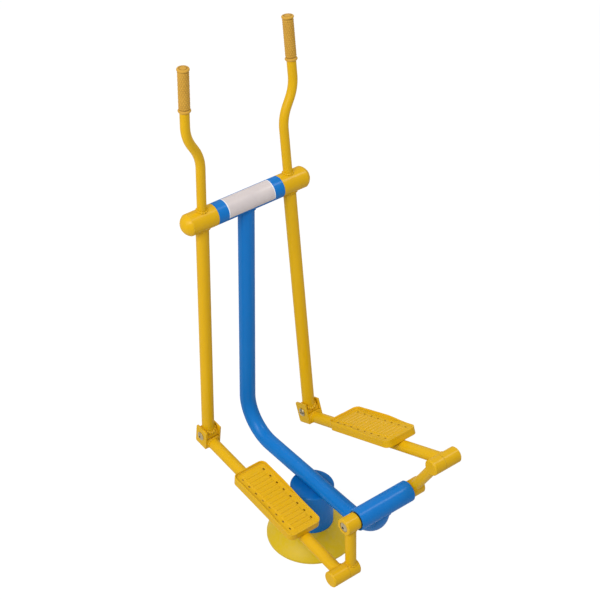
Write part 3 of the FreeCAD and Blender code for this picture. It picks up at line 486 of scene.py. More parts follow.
FINISHES = (
    PaintFinish(Slot.BLUE_PAINT, colour=(12, 122, 207), second=(12, 112, 197), roughness=(0.34, 0.41),
                rubbed_and_highlight=(92, 164, 224), grime=(6, 44, 84)),
    PaintFinish(Slot.YELLOW_PAINT, colour=(231, 181, 16), second=(223, 171, 16), roughness=(0.34, 0.41),
                rubbed_and_highlight=(248, 216, 100), grime=(92, 56, 4)),
    PlasticFinish(Slot.COVER_PLASTIC, colour=(224, 190, 8), second=(212, 178, 18), roughness=(0.4, 0.4)),
    RubberFinish(Slot.GRIP_RUBBER, colour=(220, 170, 66), second=(202, 150, 54), roughness=(0.66, 0.54)),
    LabelFinish(Slot.PALE_LABEL, colour=(222, 212, 210), second=(206, 196, 198), roughness=(0.34, 0.46),
                margin=(244, 246, 250)),
    MetalFinish(Slot.ZINC_STEEL, colour=(184, 168, 132), second=(150, 134, 100), roughness=(0.27, 0.41)),
    MetalFinish(Slot.BARE_STEEL, colour=(150, 150, 150), second=(122, 120, 118), roughness=(0.3, 0.44)),
    MetalFinish(Slot.BUSH_BRASS, colour=(190, 152, 84), second=(164, 126, 64), roughness=(0.34, 0.48)),
)


def add_object(name: str, data: bpy.types.ID) -> bpy.types.Object:
    """Puts a new object into the scene, at the origin.

    Args:
        name: The object's name.
        data: Its mesh, lamp or camera.

    Returns:
        The object.
    """
    made = bpy.data.objects.new(name, data)
    bpy.context.scene.collection.objects.link(made)
    return made


class Workshop:
    """Turns bmeshes into finished pieces that ride on the machine."""

    def __init__(self, frame: Dict[str, object]) -> None:
        """Makes the materials.

        Args:
            frame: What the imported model's load gave.
        """
        SharedEffects().build()
        self.nodes: Dict[str, bpy.types.Object] = frame["nodes"]
        self.materials = {finish.slot: finish.make() for finish in FINISHES}
        self.made: List[bpy.types.Object] = []

    def dress_nodes(self) -> None:
        """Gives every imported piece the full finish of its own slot."""
        for name, node in self.nodes.items():
            for holder in node.material_slots:
                holder.material = self.materials[Slot(holder.material.name.split(".")[0])]
            LOG.info("dressed %s", name)

    def piece(self, name: str, mesh: Mesh, place: Matrix, body: Body, slot: Slot,
              replaces: Sequence[str] = ()) -> None:
        """Places a bmesh and makes it a piece of the machine.

        Args:
            name: The piece's name.
            mesh: Its shape in a local frame; it is freed here.
            place: The local frame's place on the machine.
            body: The body that carries it.
            slot: Its finish.
            replaces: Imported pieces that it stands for.
        """
        bmesh.ops.remove_doubles(mesh, verts=mesh.verts, dist=DOUBLE_MERGE)
        bmesh.ops.recalc_face_normals(mesh, faces=mesh.faces)
        bmesh.ops.transform(mesh, matrix=place, verts=mesh.verts)
        data = bpy.data.meshes.new(name)
        mesh.to_mesh(data)
        mesh.free()
        data.shade_smooth()
        data.set_sharp_from_angle(angle=SHARP_ANGLE)
        made = add_object(name, data)
        data.materials.append(self.materials[slot])
        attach(made, body.value)
        if replaces:
            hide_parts(*replaces)
        self.made.append(made)
        LOG.info("made %s with %d faces", name, len(data.polygons))


def smooth_step(share: float) -> float:
    """Holds a share between 0 and 1 and eases it in and out."""
    held = min(max(share, 0.0), 1.0)
    return held * held * (3 - 2 * held)


def open_edges(mesh: Mesh) -> List[bmesh.types.BMEdge]:
    """The edges along the rims of a mesh that isn't closed."""
    return [edge for edge in mesh.edges if edge.is_boundary]


def verts_of(grown: Sequence[object]) -> List[bmesh.types.BMVert]:
    """The vertices among the parts that an operator made."""
    return [item for item in grown if isinstance(item, bmesh.types.BMVert)]


def turned(mesh: Mesh, profile: Sequence[Point], steps: int) -> None:
    """Spins a profile a full turn about Z.

    Args:
        mesh: The bmesh that gets the shape.
        profile: Radius and height of each corner, in order.
        steps: Segments of the turn.
    """
    spots = [mesh.verts.new((radius, 0.0, height)) for radius, height in profile]
    edges = [mesh.edges.new(ends) for ends in zip(spots, spots[1:])]
    bmesh.ops.spin(mesh, geom=[*spots, *edges], cent=(0, 0, 0), axis=(0, 0, 1), angle=math.tau, steps=steps,
                   use_merge=True)
    bmesh.ops.remove_doubles(mesh, verts=mesh.verts, dist=POLE_MERGE)


def at(spot: Sequence[float], turn: float = 0.0) -> Matrix:
    """A frame at a spot in metres, turned about X by an angle in degrees."""
    return Matrix.Translation(Vector(spot)) @ Matrix.Rotation(math.radians(turn), 4, "X")


def outward(side: Side) -> Matrix:
    """Turns Z towards the outside of the machine on one side."""
    return Matrix.Rotation(side.value * math.pi / 2, 4, "Y")


DOWNWARD = Matrix.Rotation(math.pi, 4, "X")
REARWARD = Matrix.Rotation(math.pi / 2, 4, "X")
FORWARD = Matrix.Rotation(-math.pi / 2, 4, "X")


@dataclass(frozen=True)
class SocketHead:
    """A low domed screw head along Z with a six-sided socket."""

    radius: float
    low: float
    high: float
    socket: float
    depth: float
    rim_share: float = 0.22
    land_share: float = 1.35
    crown_steps: int = 8
    steps: int = 56
    corners: int = 6

    def add(self, mesh: Mesh) -> None:
        """Adds the head to a bmesh, with its straight rim, its crown and its socket.

        Args:
            mesh: The bmesh that gets it.
        """
        rim = self.low + (self.high - self.low) * self.rim_share
        bow = (self.radius ** 2 + (self.high - rim) ** 2) / (2 * (self.high - rim))
        inward = (self.socket * self.land_share - self.radius) / self.crown_steps
        arc = [self.radius + inward * step for step in range(self.crown_steps + 1)]
        crown = [(reach, self.high - bow + math.sqrt(bow ** 2 - reach ** 2)) for reach in arc]
        turned(mesh, [(0.0, self.low), (self.radius, self.low), *crown], self.steps)
        opening = open_edges(mesh)
        hole = bmesh.ops.create_circle(mesh, segments=self.corners, radius=self.socket,
                                       matrix=Matrix.Translation((0, 0, crown[-1][1])))
        sides = {edge for vert in hole["verts"] for edge in vert.link_edges}
        bmesh.ops.bridge_loops(mesh, edges=[*opening, *sides])
        floor = verts_of(bmesh.ops.extrude_edge_only(mesh, edges=list(sides))["geom"])
        bmesh.ops.translate(mesh, verts=floor, vec=(0, 0, -self.depth))
        bmesh.ops.contextual_create(mesh, geom=floor)


@dataclass(frozen=True)
class WeldBead:
    """A hand-laid weld bead round a tube along Z, with its ripples and its slow wander in width."""

    radius: float
    bead: float
    sides: int = 10
    steps: int = 144
    ripple: float = 0.0078
    least_ripples: int = 8
    body: float = 0.8
    crest: float = 0.48
    wander: float = 0.16
    wander_turns: int = 3
    wander_phase: float = 900.0

    def lay(self, height: Callable[[float], float], start: float = 0.0, sweep: float = math.tau) -> Mesh:
        """Lays the bead along a seam.

        Args:
            height: Where the seam lies along the tube, for each angle round it.
            start: The bead's first angle.
            sweep: The angle that it covers.

        Returns:
            The bead.
        """
        mesh = bmesh.new()
        cut = Matrix.Rotation(start, 4, "Z") @ Matrix.Translation((self.radius, 0, 0)) @ REARWARD
        bmesh.ops.create_circle(mesh, segments=self.sides, radius=self.bead, matrix=cut)
        whole = sweep >= math.tau
        bmesh.ops.spin(mesh, geom=[*mesh.verts, *mesh.edges], cent=(0, 0, 0), axis=(0, 0, 1), angle=sweep,
                       steps=self.steps, use_merge=whole)
        if not whole:
            bmesh.ops.holes_fill(mesh, edges=open_edges(mesh))
        ripples = max(self.least_ripples, round(self.radius * sweep / self.ripple))
        for vert in mesh.verts:
            angle = math.atan2(vert.co.y, vert.co.x)
            along = (angle - start) % math.tau / sweep
            wander = math.sin(self.wander_turns * angle + self.radius * self.wander_phase)
            swell = (self.body + self.crest * abs(math.sin(along * ripples * math.pi))
                     + self.wander * wander)
            across = vert.co.xy.length - self.radius
            vert.co.xy = vert.co.xy.normalized() * (self.radius + across * swell)
            vert.co.z = height(angle) + vert.co.z * swell
        return mesh

    def on_tube(self, run: float, lift: float = 0.0) -> Mesh:
        """Lays the bead where the tube meets another tube square.

        Args:
            run: The other tube's radius.
            lift: How far the seam stands off that tube.

        Returns:
            The bead.
        """
        def seam(angle: float) -> float:
            """The seam's distance from the other tube's axis."""
            return math.sqrt(max(run * run - (self.radius * math.sin(angle)) ** 2, 0.0)) + lift
        return self.lay(seam)


def grind(mesh: Mesh, facing: int, limit: float) -> None:
    """Grinds a weld flat on one side, where another piece passes close by.

    Args:
        mesh: The weld bead.
        facing: The side that is ground, 1 or -1 along X.
        limit: How far from the tube's axis the bead may stand there.
    """
    for vert in mesh.verts:
        vert.co.x = facing * min(facing * vert.co.x, limit)


@dataclass
class FixedFrame:
    """The blue frame: its welds and the bare sheet on the crossbar."""

    shop: Workshop
    bar: Spot = (0.0, 0.375, 1.243)
    housing: Spot = (0.0, -0.365, 0.416)
    bar_radius: float = 0.038
    housing_radius: float = 0.038
    tube_radius: float = 0.0285
    bead: float = 0.0034
    run_height: float = 0.262
    post_radius: float = 0.078
    cradle_depth: float = 0.003
    cradle_bead: float = 0.00306
    cradle_share: float = 0.92
    cradle_lift: Point = (0.0012, 0.0008)
    cradle_ripple: float = 0.0042
    cradle_swell: float = 0.16
    cradle_sides: int = 10
    cradle_steps: int = 60
    label_half: float = 0.095
    label_low: float = -19.0
    label_high: float = 113.0
    label_thickness: float = 0.0005
    label_corner: float = 0.004
    label_corner_steps: int = 4
    label_grid: Tuple[int, int] = (4, 56)

    def build(self) -> None:
        """Makes every piece of the fixed frame."""
        self.weld_tube_ends()
        self.weld_cradle()
        self.lay_label()

    def weld_tube_ends(self) -> None:
        """Welds the main tube to the crossbar and to the rear housing."""
        weld = WeldBead(self.tube_radius, self.bead)
        for name, spot, run in (("weld_upright_top", self.bar, self.bar_radius),
                                ("weld_rear_housing", self.housing, self.housing_radius)):
            self.shop.piece(name, weld.on_tube(run), at(spot) @ DOWNWARD, Body.FRAME, Slot.BLUE_PAINT)

    def weld_cradle(self) -> None:
        """Welds the level run to the plate on the column, along both sides of its cradle."""
        level = self.run_height - self.tube_radius + self.cradle_depth
        aside = math.sqrt(self.tube_radius ** 2 - (self.tube_radius - self.cradle_depth) ** 2)
        length = 2 * self.cradle_share * math.sqrt(self.post_radius ** 2 - aside ** 2)
        outset, lift = self.cradle_lift
        for side in Side:
            mesh = bmesh.new()
            bmesh.ops.create_circle(mesh, cap_ends=True, segments=self.cradle_sides, radius=self.cradle_bead)
            for _ in range(self.cradle_steps):
                face = max(mesh.faces, key=lambda item: item.calc_center_median().z)
                moved = verts_of(bmesh.ops.extrude_face_region(mesh, geom=[face])["geom"])
                bmesh.ops.translate(mesh, verts=moved, vec=(0, 0, length / self.cradle_steps))
                bmesh.ops.delete(mesh, geom=[face], context="FACES_ONLY")
            for vert in mesh.verts:
                ripple = abs(math.sin(vert.co.z / self.cradle_ripple * math.pi))
                vert.co.xy *= 1.0 + self.cradle_swell * ripple
            place = Matrix.Translation((side.value * (aside + outset), length / 2, level + lift)) @ REARWARD
            self.shop.piece(f"weld_cradle_{side.word}", mesh, place, Body.FRAME, Slot.BLUE_PAINT)

    def lay_label(self) -> None:
        """Bends the bare pale sheet round the upper rear face of the crossbar."""
        mesh = bmesh.new()
        outer = self.bar_radius + self.label_thickness / 2
        turn = math.radians(self.label_high - self.label_low)
        middle = math.radians(self.label_high + self.label_low) / 2
        shape = Matrix.Diagonal((self.label_half, outer * turn / 2, 1.0, 1.0))
        columns, rows = self.label_grid
        bmesh.ops.create_grid(mesh, x_segments=columns, y_segments=rows, size=1.0, matrix=shape)
        corners = [vert for vert in mesh.verts if len(vert.link_edges) == 2]
        bmesh.ops.bevel(mesh, geom=corners, offset=self.label_corner, offset_type="OFFSET", affect="VERTICES",
                        segments=self.label_corner_steps, profile=0.5, material=-1)
        for vert in mesh.verts:
            angle = middle + vert.co.y / outer
            vert.co.y, vert.co.z = -outer * math.cos(angle), outer * math.sin(angle)
        bmesh.ops.recalc_face_normals(mesh, faces=mesh.faces)
        bmesh.ops.solidify(mesh, geom=list(mesh.faces), thickness=self.label_thickness)
        self.shop.piece("label_sheet", mesh, at(self.bar), Body.FRAME, Slot.PALE_LABEL, ("crossbar_label",))


@dataclass
class SidePart:
    """What an arm and a beam share: their side, their turn about X at rest and the joint they turn on."""

    shop: Workshop
    side: Side
    turn: float
    joint: Point
    kind: ClassVar[str]

    def frame(self, offset: float) -> Matrix:
        """The part's own frame at its joint, at a distance from the middle plane."""
        return at((self.side.value * offset, *self.joint), self.turn)

    def add(self, name: str, mesh: Mesh, place: Matrix, slot: Slot = Slot.YELLOW_PAINT,
            stands_for: str = "") -> None:
        """Adds a piece to the part.

        Args:
            name: The piece's name without its side.
            mesh: Its shape in a local frame.
            place: The local frame's place on the machine.
            slot: Its finish.
            stands_for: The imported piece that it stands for, without its side.
        """
        word = self.side.word
        replaces = (f"{word}_{stands_for}",) if stands_for else ()
        self.shop.piece(f"{word}_{name}", mesh, place, Body(f"{word}_{self.kind}"), slot, replaces)


@dataclass
class SwingArm(SidePart):
    """One yellow arm: its moulded grip and the welds of its tubes."""

    kind: ClassVar[str] = "arm"
    joint: Point = (0.375, 1.243)
    offset: float = 0.1795
    length: float = 0.926
    sleeve_radius: float = 0.038
    handle_radius: float = 0.016
    arm_radius: float = 0.02225
    eye_radius: float = 0.025
    bead: float = 0.0042
    eye_bead: float = 0.00525
    eye_weld_lift: float = 0.003
    grip_offset: float = 0.233492
    grip_bottom: float = 0.424
    grip_length: float = 0.155
    grip_radius: float = 0.0174
    grip_body: Point = (0.014, 0.1425)
    collar_radius: float = 0.0212
    collar_height: float = 0.012
    collar_curve: Tuple[Point, ...] = ((-0.0046, 0.0), (-0.0018, 0.0016), (-0.0003, 0.0036), (0.0, 0.0054),
                                       (-0.0005, 0.00744), (-0.0022, 0.00984))
    neck_depth: float = 0.0011
    neck_reach: Point = (0.0018, 0.0026)
    flange_radius: float = 0.0206
    flange_curve: Tuple[Point, ...] = ((-0.0008, -0.0085), (0.0, -0.0069), (-0.0001, -0.0042),
                                       (-0.0012, -0.0022), (-0.0042, -0.0009), (-0.006592, -0.0008),
                                       (-0.007622, -0.002), (-0.008652, -0.002), (-0.009888, -0.0006))
    nub_height: float = 0.0016
    nub_gap: float = 0.12
    nub_rows: int = 17
    nub_columns: int = 14
    nub_steps: Tuple[int, int] = (8, 6)

    def build(self) -> None:
        """Makes every piece of the arm."""
        self.mould_grip()
        self.weld_tubes()

    def grip_profile(self) -> List[Point]:
        """Gives the grip's section without its nubs.

        Returns:
            Radius and height of each corner, from the collar to the ringed end.
        """
        low, high = self.grip_body
        neck = self.grip_radius - self.neck_depth
        return [(self.handle_radius, 0.0),
                *((self.collar_radius + out, height) for out, height in self.collar_curve),
                (neck, self.collar_height), (self.grip_radius, low), (self.grip_radius, high),
                *((neck, high + reach) for reach in self.neck_reach),
                *((self.flange_radius + out, self.grip_length + below) for out, below in self.flange_curve),
                (0.0, self.grip_length)]

    def mould_grip(self) -> None:
        """Moulds the grip: a round collar, a body with staggered nubs and a ringed end flange."""
        mesh = bmesh.new()
        around_steps, along_steps = self.nub_steps
        turned(mesh, self.grip_profile(), self.nub_columns * around_steps)
        low, high = self.grip_body
        walls = [edge for edge in mesh.edges
                 if {round(vert.co.z, 6) for vert in edge.verts} == {round(low, 6), round(high, 6)}]
        bmesh.ops.subdivide_edges(mesh, edges=walls, cuts=self.nub_rows * along_steps - 1, use_grid_fill=True)
        pitch, around = (high - low) / self.nub_rows, math.tau / self.nub_columns
        for vert in mesh.verts:
            if low + NEAR < vert.co.z < high - NEAR:
                row = (vert.co.z - low) / pitch
                column = (math.atan2(vert.co.y, vert.co.x) / around + 0.5 * (int(row) % 2)) % 1.0
                dome = math.sin(math.pi * (row % 1.0)) * math.sin(math.pi * column) - self.nub_gap
                rise = self.nub_height * math.sqrt(max(dome, 0.0))
                vert.co.xy = vert.co.xy.normalized() * (self.grip_radius + rise)
        place = self.frame(self.grip_offset) @ Matrix.Translation((0, 0, self.grip_bottom))
        self.add("moulded_grip", mesh, place, Slot.GRIP_RUBBER, "grip")

    def weld_tubes(self) -> None:
        """Welds handle and arm tube to the sleeve and the arm tube to its hinge eye."""
        top = self.frame(self.offset)
        eye = top @ Matrix.Translation((0, 0, -self.length))
        handle = WeldBead(self.handle_radius, self.bead).on_tube(self.sleeve_radius)
        arm = WeldBead(self.arm_radius, self.bead).on_tube(self.sleeve_radius)
        foot = WeldBead(self.arm_radius, self.eye_bead).on_tube(self.eye_radius, self.eye_weld_lift)
        for name, mesh, place in (("handle", handle, top), ("arm", arm, top @ DOWNWARD), ("eye", foot, eye)):
            self.add(f"weld_{name}", mesh, place)


@dataclass
class PedalBeam(SidePart):
    """One yellow pedal beam, from its crank pin: welds, the pedal's tread and guard, hinge bolt and screw."""

    kind: ClassVar[str] = "beam"
    screw_offset: float
    screw_turn: float
    offset: float = 0.1795
    length: float = 0.754
    beam_radius: float = 0.021
    sleeve_radius: float = 0.0285
    hinge_rise: float = 0.028
    bracket_rear: float = 0.0305
    bracket_face: float = 0.0325
    bracket_drop: float = 0.043
    bracket_weld_gap: float = 0.05
    bolt_radius: float = 0.008
    bolt_steps: int = 40
    head_radius: float = 0.0158
    head_height: float = 0.0075
    socket_radius: float = 0.005
    socket_depth: float = 0.00375
    pedal_rear: float = 0.190
    pedal_length: float = 0.332
    pedal_width: float = 0.135
    pedal_corner: float = 0.022
    field_level: float = 0.0455
    guard_top: float = 0.0116
    guard_fall: float = 0.0045
    guard_skirt: float = 0.0045
    guard_skin: float = 0.0002
    guard_corner_steps: int = 12
    guard_cuts: int = 40
    guard_profile: Tuple[Point, ...] = ((0.00001, 0.8), (0.0007, 0.93), (0.002, 1.0), (0.0033, 0.94),
                                        (0.0041, 0.8), (0.0047, 0.45), (0.0055, 0.22), (0.0067, 0.1),
                                        (0.0081, 0.0))
    heel_height: float = 0.0026
    outer_ramp: Point = (0.040, 0.160)
    inner_ramp: Point = (0.095, 0.220)
    rim_cover: float = 0.0016
    panel_half: Point = (0.0407, 0.1486)
    panel_corner: float = 0.003
    panel_height: float = 0.0012
    panel_step: float = 0.0014
    panel_root: float = 0.0004
    panel_grid: Tuple[int, int] = (40, 520)
    ridge_reach: int = 7
    ridge_pitch: float = 0.019
    ridge_shift: float = -0.0045
    ridge_length: float = 0.078
    ridge_width: float = 0.0092
    ridge_flank: float = 0.0024
    ridge_height: float = 0.0025
    bead: float = 0.003
    ground_weld: float = 0.0009
    screw_radius: float = 0.0042
    screw_rise: float = 0.0008
    screw_root: float = 0.002
    screw_socket: float = 0.00231
    screw_depth: float = 0.002

    def hinge_frame(self) -> Matrix:
        """The frame at the hinge bolt, turned as the beam is."""
        return self.frame(self.offset) @ Matrix.Translation((0, self.length, self.hinge_rise))

    def pedal_frame(self) -> Matrix:
        """The frame in the middle of the pedal's field."""
        middle = self.pedal_rear + self.pedal_length / 2
        return self.frame(self.offset) @ Matrix.Translation((0, middle, self.field_level))

    def build(self) -> None:
        """Makes every piece of the beam."""
        rear = WeldBead(self.beam_radius, self.bead).on_tube(self.sleeve_radius)
        grind(rear, -self.side.value, self.beam_radius + self.ground_weld)
        self.add("weld_pin_sleeve", rear, self.frame(self.offset) @ FORWARD)
        self.weld_bracket()
        self.press_tread()
        self.raise_guard()
        self.fit_bolt()
        self.fit_nut()
        self.fit_screw()

    def weld_bracket(self) -> None:
        """Welds the beam's front end to the web of the hinge bracket, as far down as the web goes."""
        low = math.asin((self.hinge_rise - self.bracket_drop) / self.beam_radius) + self.bracket_weld_gap
        weld = WeldBead(self.beam_radius, self.bead)
        mesh = weld.lay(lambda angle: self.bracket_rear, low, math.pi - 2 * low)
        place = self.frame(self.offset) @ Matrix.Translation((0, self.length, 0)) @ REARWARD
        self.add("weld_bracket", mesh, place)

    def tread_height(self, spot: Vector) -> float:
        """Gives the tread's height above the pedal's field: a thin pressed panel with flat bars across it.

        Args:
            spot: A point of the tread, from the pedal's middle.

        Returns:
            The height in metres, a little below the field outside the panel's rounded corners.
        """
        half, corner = self.panel_half, self.panel_corner
        reach = [max(abs(spot[axis]) - half[axis] + corner, 0.0) for axis in (0, 1)]
        inside = corner - math.hypot(*reach)
        if inside < 0:
            return -self.panel_root
        panel = self.panel_height * min(inside / self.panel_step, 1.0)
        number = round((spot.y - self.ridge_shift) / self.ridge_pitch)
        if abs(number) > self.ridge_reach:
            return panel
        across = self.ridge_width / 2 - abs(spot.y - self.ridge_shift - number * self.ridge_pitch)
        within = min(across, self.ridge_length / 2 - abs(spot.x))
        return panel + self.ridge_height * smooth_step(within / self.ridge_flank)

    def press_tread(self) -> None:
        """Presses the pedal's tread: one closed panel with a row of flat bars."""
        mesh = bmesh.new()
        size = Matrix.Diagonal((*self.panel_half, 1.0, 1.0))
        columns, rows = self.panel_grid
        bmesh.ops.create_grid(mesh, x_segments=columns, y_segments=rows, size=1.0, matrix=size)
        for vert in mesh.verts:
            vert.co.z = self.tread_height(vert.co)
        for vert in verts_of(bmesh.ops.extrude_edge_only(mesh, edges=open_edges(mesh))["geom"]):
            vert.co.z = -2 * self.panel_root
        bmesh.ops.contextual_create(mesh, geom=open_edges(mesh))
        self.add("tread_ridges", mesh, self.pedal_frame())

    def guard_height(self, spot: Vector) -> float:
        """Gives the guard's height above the tread field: low at the heel, full along the front of each side.

        Args:
            spot: A point of the guard, from the pedal's middle.

        Returns:
            The height in metres.
        """
        along = spot.y + self.pedal_length / 2
        start, end = self.outer_ramp if spot.x * self.side.value > 0 else self.inner_ramp
        full = self.guard_top - self.guard_fall * max(along - end, 0.0) / self.pedal_length
        return self.heel_height + (full - self.heel_height) * smooth_step((along - start) / (end - start))

    def inset(self, mesh: Mesh, field: bmesh.types.BMFace, width: float) -> List[bmesh.types.BMVert]:
        """Draws the field's edge inwards by one ring of faces.

        Args:
            mesh: The guard's bmesh.
            field: The face in its middle.
            width: The ring's width.

        Returns:
            The vertices of the ring's outer edge.
        """
        ring = bmesh.ops.inset_region(mesh, faces=[field], thickness=width, use_boundary=True,
                                      use_even_offset=True)["faces"]
        return [vert for face in ring for vert in face.verts if field not in vert.link_faces]

    def raise_guard(self) -> None:
        """Raises the pedal's edge: a low rolled heel that sweeps up into a guard at the sides and the toe."""
        mesh = bmesh.new()
        wide, long = self.pedal_width / 2 + self.guard_skin, self.pedal_length / 2 + self.guard_skin
        shape = Matrix.Diagonal((wide, long, 1.0, 1.0))
        bmesh.ops.create_grid(mesh, x_segments=1, y_segments=1, size=1.0, matrix=shape)
        bmesh.ops.bevel(mesh, geom=list(mesh.verts), offset=self.pedal_corner, offset_type="OFFSET",
                        affect="VERTICES", segments=self.guard_corner_steps, profile=0.5, material=-1)
        long_edges = [edge for edge in mesh.edges if edge.calc_length() > self.pedal_corner]
        bmesh.ops.subdivide_edges(mesh, edges=long_edges, cuts=self.guard_cuts)
        field = mesh.faces[:][0]
        reached = [0.0, *(inset for inset, _ in self.guard_profile)]
        loops = [self.inset(mesh, field, end - start) for start, end in zip(reached, reached[1:])]
        loops.append(list(field.verts))
        for vert in loops[0]:
            vert.co.z = -self.guard_skirt
        for loop, (_, share) in zip(loops[1:], self.guard_profile):
            for vert in loop:
                vert.co.z = max(share * self.guard_height(vert.co), self.rim_cover)
        self.inset(mesh, field, self.panel_step)
        for vert in field.verts:
            vert.co.z = -self.panel_root
        bmesh.ops.delete(mesh, geom=[field], context="FACES_ONLY")
        bmesh.ops.bridge_loops(mesh, edges=open_edges(mesh))
        self.add("pedal_guard", mesh, self.pedal_frame())

    def add_head(self, mesh: Mesh) -> None:
        """Adds a domed socket head that sits on a cheek of the bracket."""
        SocketHead(self.head_radius, self.bracket_face, self.bracket_face + self.head_height,
                   self.socket_radius, self.socket_depth).add(mesh)

    def fit_bolt(self) -> None:
        """Fits the plated hinge bolt: a domed socket head on the outer cheek and its shank."""
        mesh = bmesh.new()
        turned(mesh, [(0.0, -self.bracket_face), (self.bolt_radius, -self.bracket_face),
                      (self.bolt_radius, self.bracket_face), (0.0, self.bracket_face)], self.bolt_steps)
        self.add_head(mesh)
        place = self.hinge_frame() @ outward(self.side)
        self.add("plated_bolt", mesh, place, Slot.ZINC_STEEL, "hinge_bolt")

    def fit_nut(self) -> None:
        """Fits the sleeve nut on the inner cheek, with the same domed head as the bolt."""
        mesh = bmesh.new()
        self.add_head(mesh)
        place = self.hinge_frame() @ outward(Side(-self.side.value))
        self.add("sleeve_nut", mesh, place, Slot.ZINC_STEEL, "hinge_nut")

    def fit_screw(self) -> None:
        """Fits the small socket screw in the top of the rear sleeve."""
        mesh = bmesh.new()
        low, high = self.sleeve_radius - self.screw_root, self.sleeve_radius + self.screw_rise
        SocketHead(self.screw_radius, low, high, self.screw_socket, self.screw_depth).add(mesh)
        place = self.frame(self.screw_offset) @ Matrix.Rotation(math.radians(self.screw_turn), 4, "X")
        self.add("sleeve_screw", mesh, place, Slot.BARE_STEEL)


@dataclass
class Crankset:
    """The cranks: their welds and the bolts at the ends of the axle."""

    shop: Workshop
    turns: Dict[Side, float]
    axle: Point = (-0.365, 0.416)
    radius: float = 0.202
    offset: float = 0.137
    hub_radius: float = 0.03
    socket_radius: float = 0.0285
    tube_radius: float = 0.019
    bead: float = 0.003
    ground_weld: float = 0.0009
    bolt_seat: float = 0.1658
    bolt_radius: float = 0.0172
    bolt_height: float = 0.0058
    bolt_socket: float = 0.005
    bolt_depth: float = 0.00348

    def build(self) -> None:
        """Makes every piece of the crank set."""
        weld = WeldBead(self.tube_radius, self.bead)
        for side, turn in self.turns.items():
            hub = at((side.value * self.offset, *self.axle), turn)
            top = weld.on_tube(self.hub_radius)
            self.shop.piece(f"{side.word}_weld_hub", top, hub @ DOWNWARD, Body.CRANKSET, Slot.YELLOW_PAINT)
            low = weld.on_tube(self.socket_radius)
            grind(low, side.value, self.tube_radius + self.ground_weld)
            socket = hub @ Matrix.Translation((0, 0, -self.radius))
            self.shop.piece(f"{side.word}_weld_socket", low, socket, Body.CRANKSET, Slot.YELLOW_PAINT)
        self.fit_bolts()

    def fit_bolts(self) -> None:
        """Fits the socket screws that hold the hubs on the axle."""
        mesh = bmesh.new()
        screw = SocketHead(self.bolt_radius, self.bolt_seat, self.bolt_seat + self.bolt_height,
                           self.bolt_socket, self.bolt_depth)
        for side in Side:
            before = set(mesh.verts)
            screw.add(mesh)
            head = [vert for vert in mesh.verts if vert not in before]
            bmesh.ops.transform(mesh, matrix=outward(side), verts=head)
        self.shop.piece("axle_end_screws", mesh, at((0.0, *self.axle)), Body.CRANKSET, Slot.ZINC_STEEL,
                        ("hub_bolts",))


@dataclass(frozen=True)
class Lamp:
    """One soft studio lamp."""

    name: str
    spot: Spot
    power: float
    size: float

    def hang(self, aim: Vector) -> None:
        """Hangs the lamp and turns it to the object.

        Args:
            aim: The point that it looks at.
        """
        data = bpy.data.lights.new(self.name, "AREA")
        data.energy = self.power
        data.shape = "DISK"
        data.size = self.size
        made = add_object(self.name, data)
        made.location = self.spot
        made.rotation_euler = (aim - Vector(self.spot)).to_track_quat("-Z", "Y").to_euler()


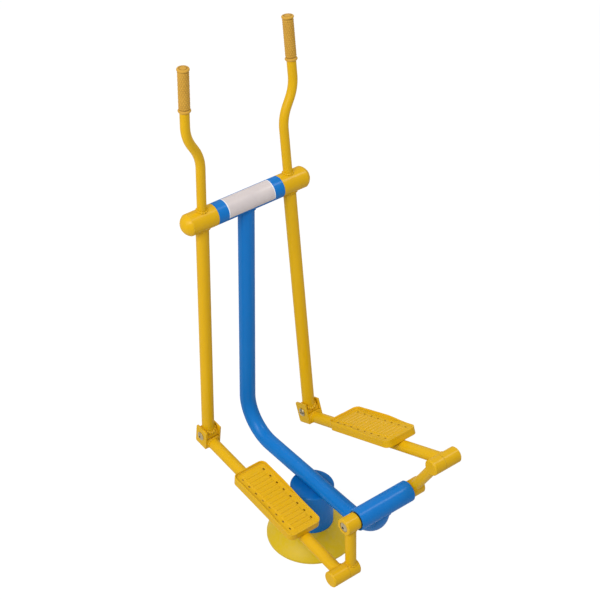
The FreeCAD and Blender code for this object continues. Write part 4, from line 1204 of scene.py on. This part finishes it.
@dataclass
class Studio:
    """White floor, soft lamps and the camera of the photograph's view."""

    aim: Spot = (0.0, 0.0, 0.8)
    ambient: float = 0.45
    floor_size: float = 60.0
    floor_cells: int = 8
    floor_drop: float = 0.0005
    floor_grey: float = 0.55
    floor_glow: float = 0.72
    floor_white: float = 1.26
    eye: Spot = (-2.75312, -3.28258, 4.34748)
    azimuth: float = -39.2668
    elevation: float = 37.5412
    roll: float = 0.9518
    focal_pixels: float = 1671.96
    sensor: float = 36.0
    view_end: float = 200.0
    lamps: Tuple[Lamp, ...] = (Lamp("key_lamp", spot=(-4.96, -2.0, 5.62), power=222.0, size=3.4),
                               Lamp("left_lamp", spot=(-5.6, 0.4, 3.6), power=74.0, size=3.4),
                               Lamp("right_lamp", spot=(3.3, -1.2, 5.9), power=64.0, size=1.4),
                               Lamp("front_lamp", spot=(0.6, 3.4, 6.0), power=28.0, size=2.4))

    def build(self) -> None:
        """Sets up the whole studio."""
        bpy.context.scene.view_settings.view_transform = "Standard"
        self.light_world()
        self.lay_floor()
        for lamp in self.lamps:
            lamp.hang(Vector(self.aim))
        self.place_camera()

    @staticmethod
    def seen(graph: Graph) -> Socket:
        """Tells the rays that show the background: the camera's, mirrored and passed ones.

        Args:
            graph: The shader tree that asks.

        Returns:
            A socket that gives 1 for those rays and 0 for the others.
        """
        path = graph.node("LightPath")
        shown = graph.math("MAXIMUM", path.outputs["Is Camera Ray"], path.outputs["Is Glossy Ray"])
        return graph.math("MAXIMUM", shown, path.outputs["Is Transmission Ray"])

    def light_world(self) -> None:
        """Gives even light to the object and white to the background."""
        world = bpy.data.worlds.new("studio_world")
        bpy.context.scene.world = world
        world.use_nodes = True
        graph = Graph(world.node_tree)
        back = world.node_tree.nodes["Background"]
        back.inputs["Color"].default_value = WHITE
        graph.feed(back.inputs["Strength"], graph.span(self.seen(graph), 0.0, 1.0, self.ambient, 1.0))

    def lay_floor(self) -> None:
        """Lays the white floor, which keeps the object's shadow."""
        mesh = bmesh.new()
        bmesh.ops.create_grid(mesh, x_segments=self.floor_cells, y_segments=self.floor_cells,
                              size=self.floor_size / 2)
        data = bpy.data.meshes.new("studio_floor")
        mesh.to_mesh(data)
        mesh.free()
        floor = add_object("studio_floor", data)
        floor.location.z = -self.floor_drop
        material = bpy.data.materials.new("studio_floor")
        material.use_nodes = True
        graph = Graph(material.node_tree)
        graph.tree.nodes.remove(graph.tree.nodes["Principled BSDF"])
        matt = graph.node("BsdfDiffuse", Color=(self.floor_grey, self.floor_grey, self.floor_grey, 1.0))
        white = graph.node("Emission", Color=WHITE, Strength=self.floor_white)
        share = graph.math("MULTIPLY", self.seen(graph), self.floor_glow)
        mixed = graph.node("MixShader", Fac=share)
        graph.feed(mixed.inputs[1], matt.outputs["BSDF"])
        graph.feed(mixed.inputs[2], white.outputs["Emission"])
        graph.feed(graph.tree.nodes["Material Output"].inputs["Surface"], mixed.outputs["Shader"])
        data.materials.append(material)

    def place_camera(self) -> None:
        """Puts the camera where the photograph was taken from."""
        data = bpy.data.cameras.new("main_camera")
        data.sensor_fit = "HORIZONTAL"
        data.sensor_width = self.sensor
        data.lens = self.focal_pixels / PICTURE_SIDE * self.sensor
        data.clip_end = self.view_end
        camera = add_object("main_camera", data)
        camera.matrix_world = Matrix.Translation(self.eye)
        for angle, axis in ((self.azimuth, "Z"), (90 - self.elevation, "X"), (self.roll, "Z")):
            camera.matrix_world @= Matrix.Rotation(math.radians(angle), 4, axis)
        bpy.context.scene.camera = camera


def clear_scene() -> None:
    """Removes whatever the start-up file holds."""
    for thing in list(bpy.data.objects):
        bpy.data.objects.remove(thing)


def main() -> None:
    """Builds the machine's looks and its studio."""
    logging.basicConfig(level=logging.INFO, format="%(message)s")
    clear_scene()
    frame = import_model()
    shop = Workshop(frame)
    shop.dress_nodes()
    FixedFrame(shop).build()
    SwingArm(shop, Side.LEFT, turn=-0.169).build()
    SwingArm(shop, Side.RIGHT, turn=-8.235).build()
    PedalBeam(shop, Side.LEFT, turn=5.700, joint=(-0.375220, 0.214259), screw_offset=0.1843,
              screw_turn=10.6).build()
    PedalBeam(shop, Side.RIGHT, turn=-22.738, joint=(-0.463855, 0.592158), screw_offset=0.1868,
              screw_turn=62.6, pedal_rear=0.213).build()
    Crankset(shop, turns={Side.LEFT: -2.9, Side.RIGHT: 209.3}).build()
    Studio().build()
    LOG.info("made %d pieces", len(shop.made))


if __name__ == "__main__":
    main()
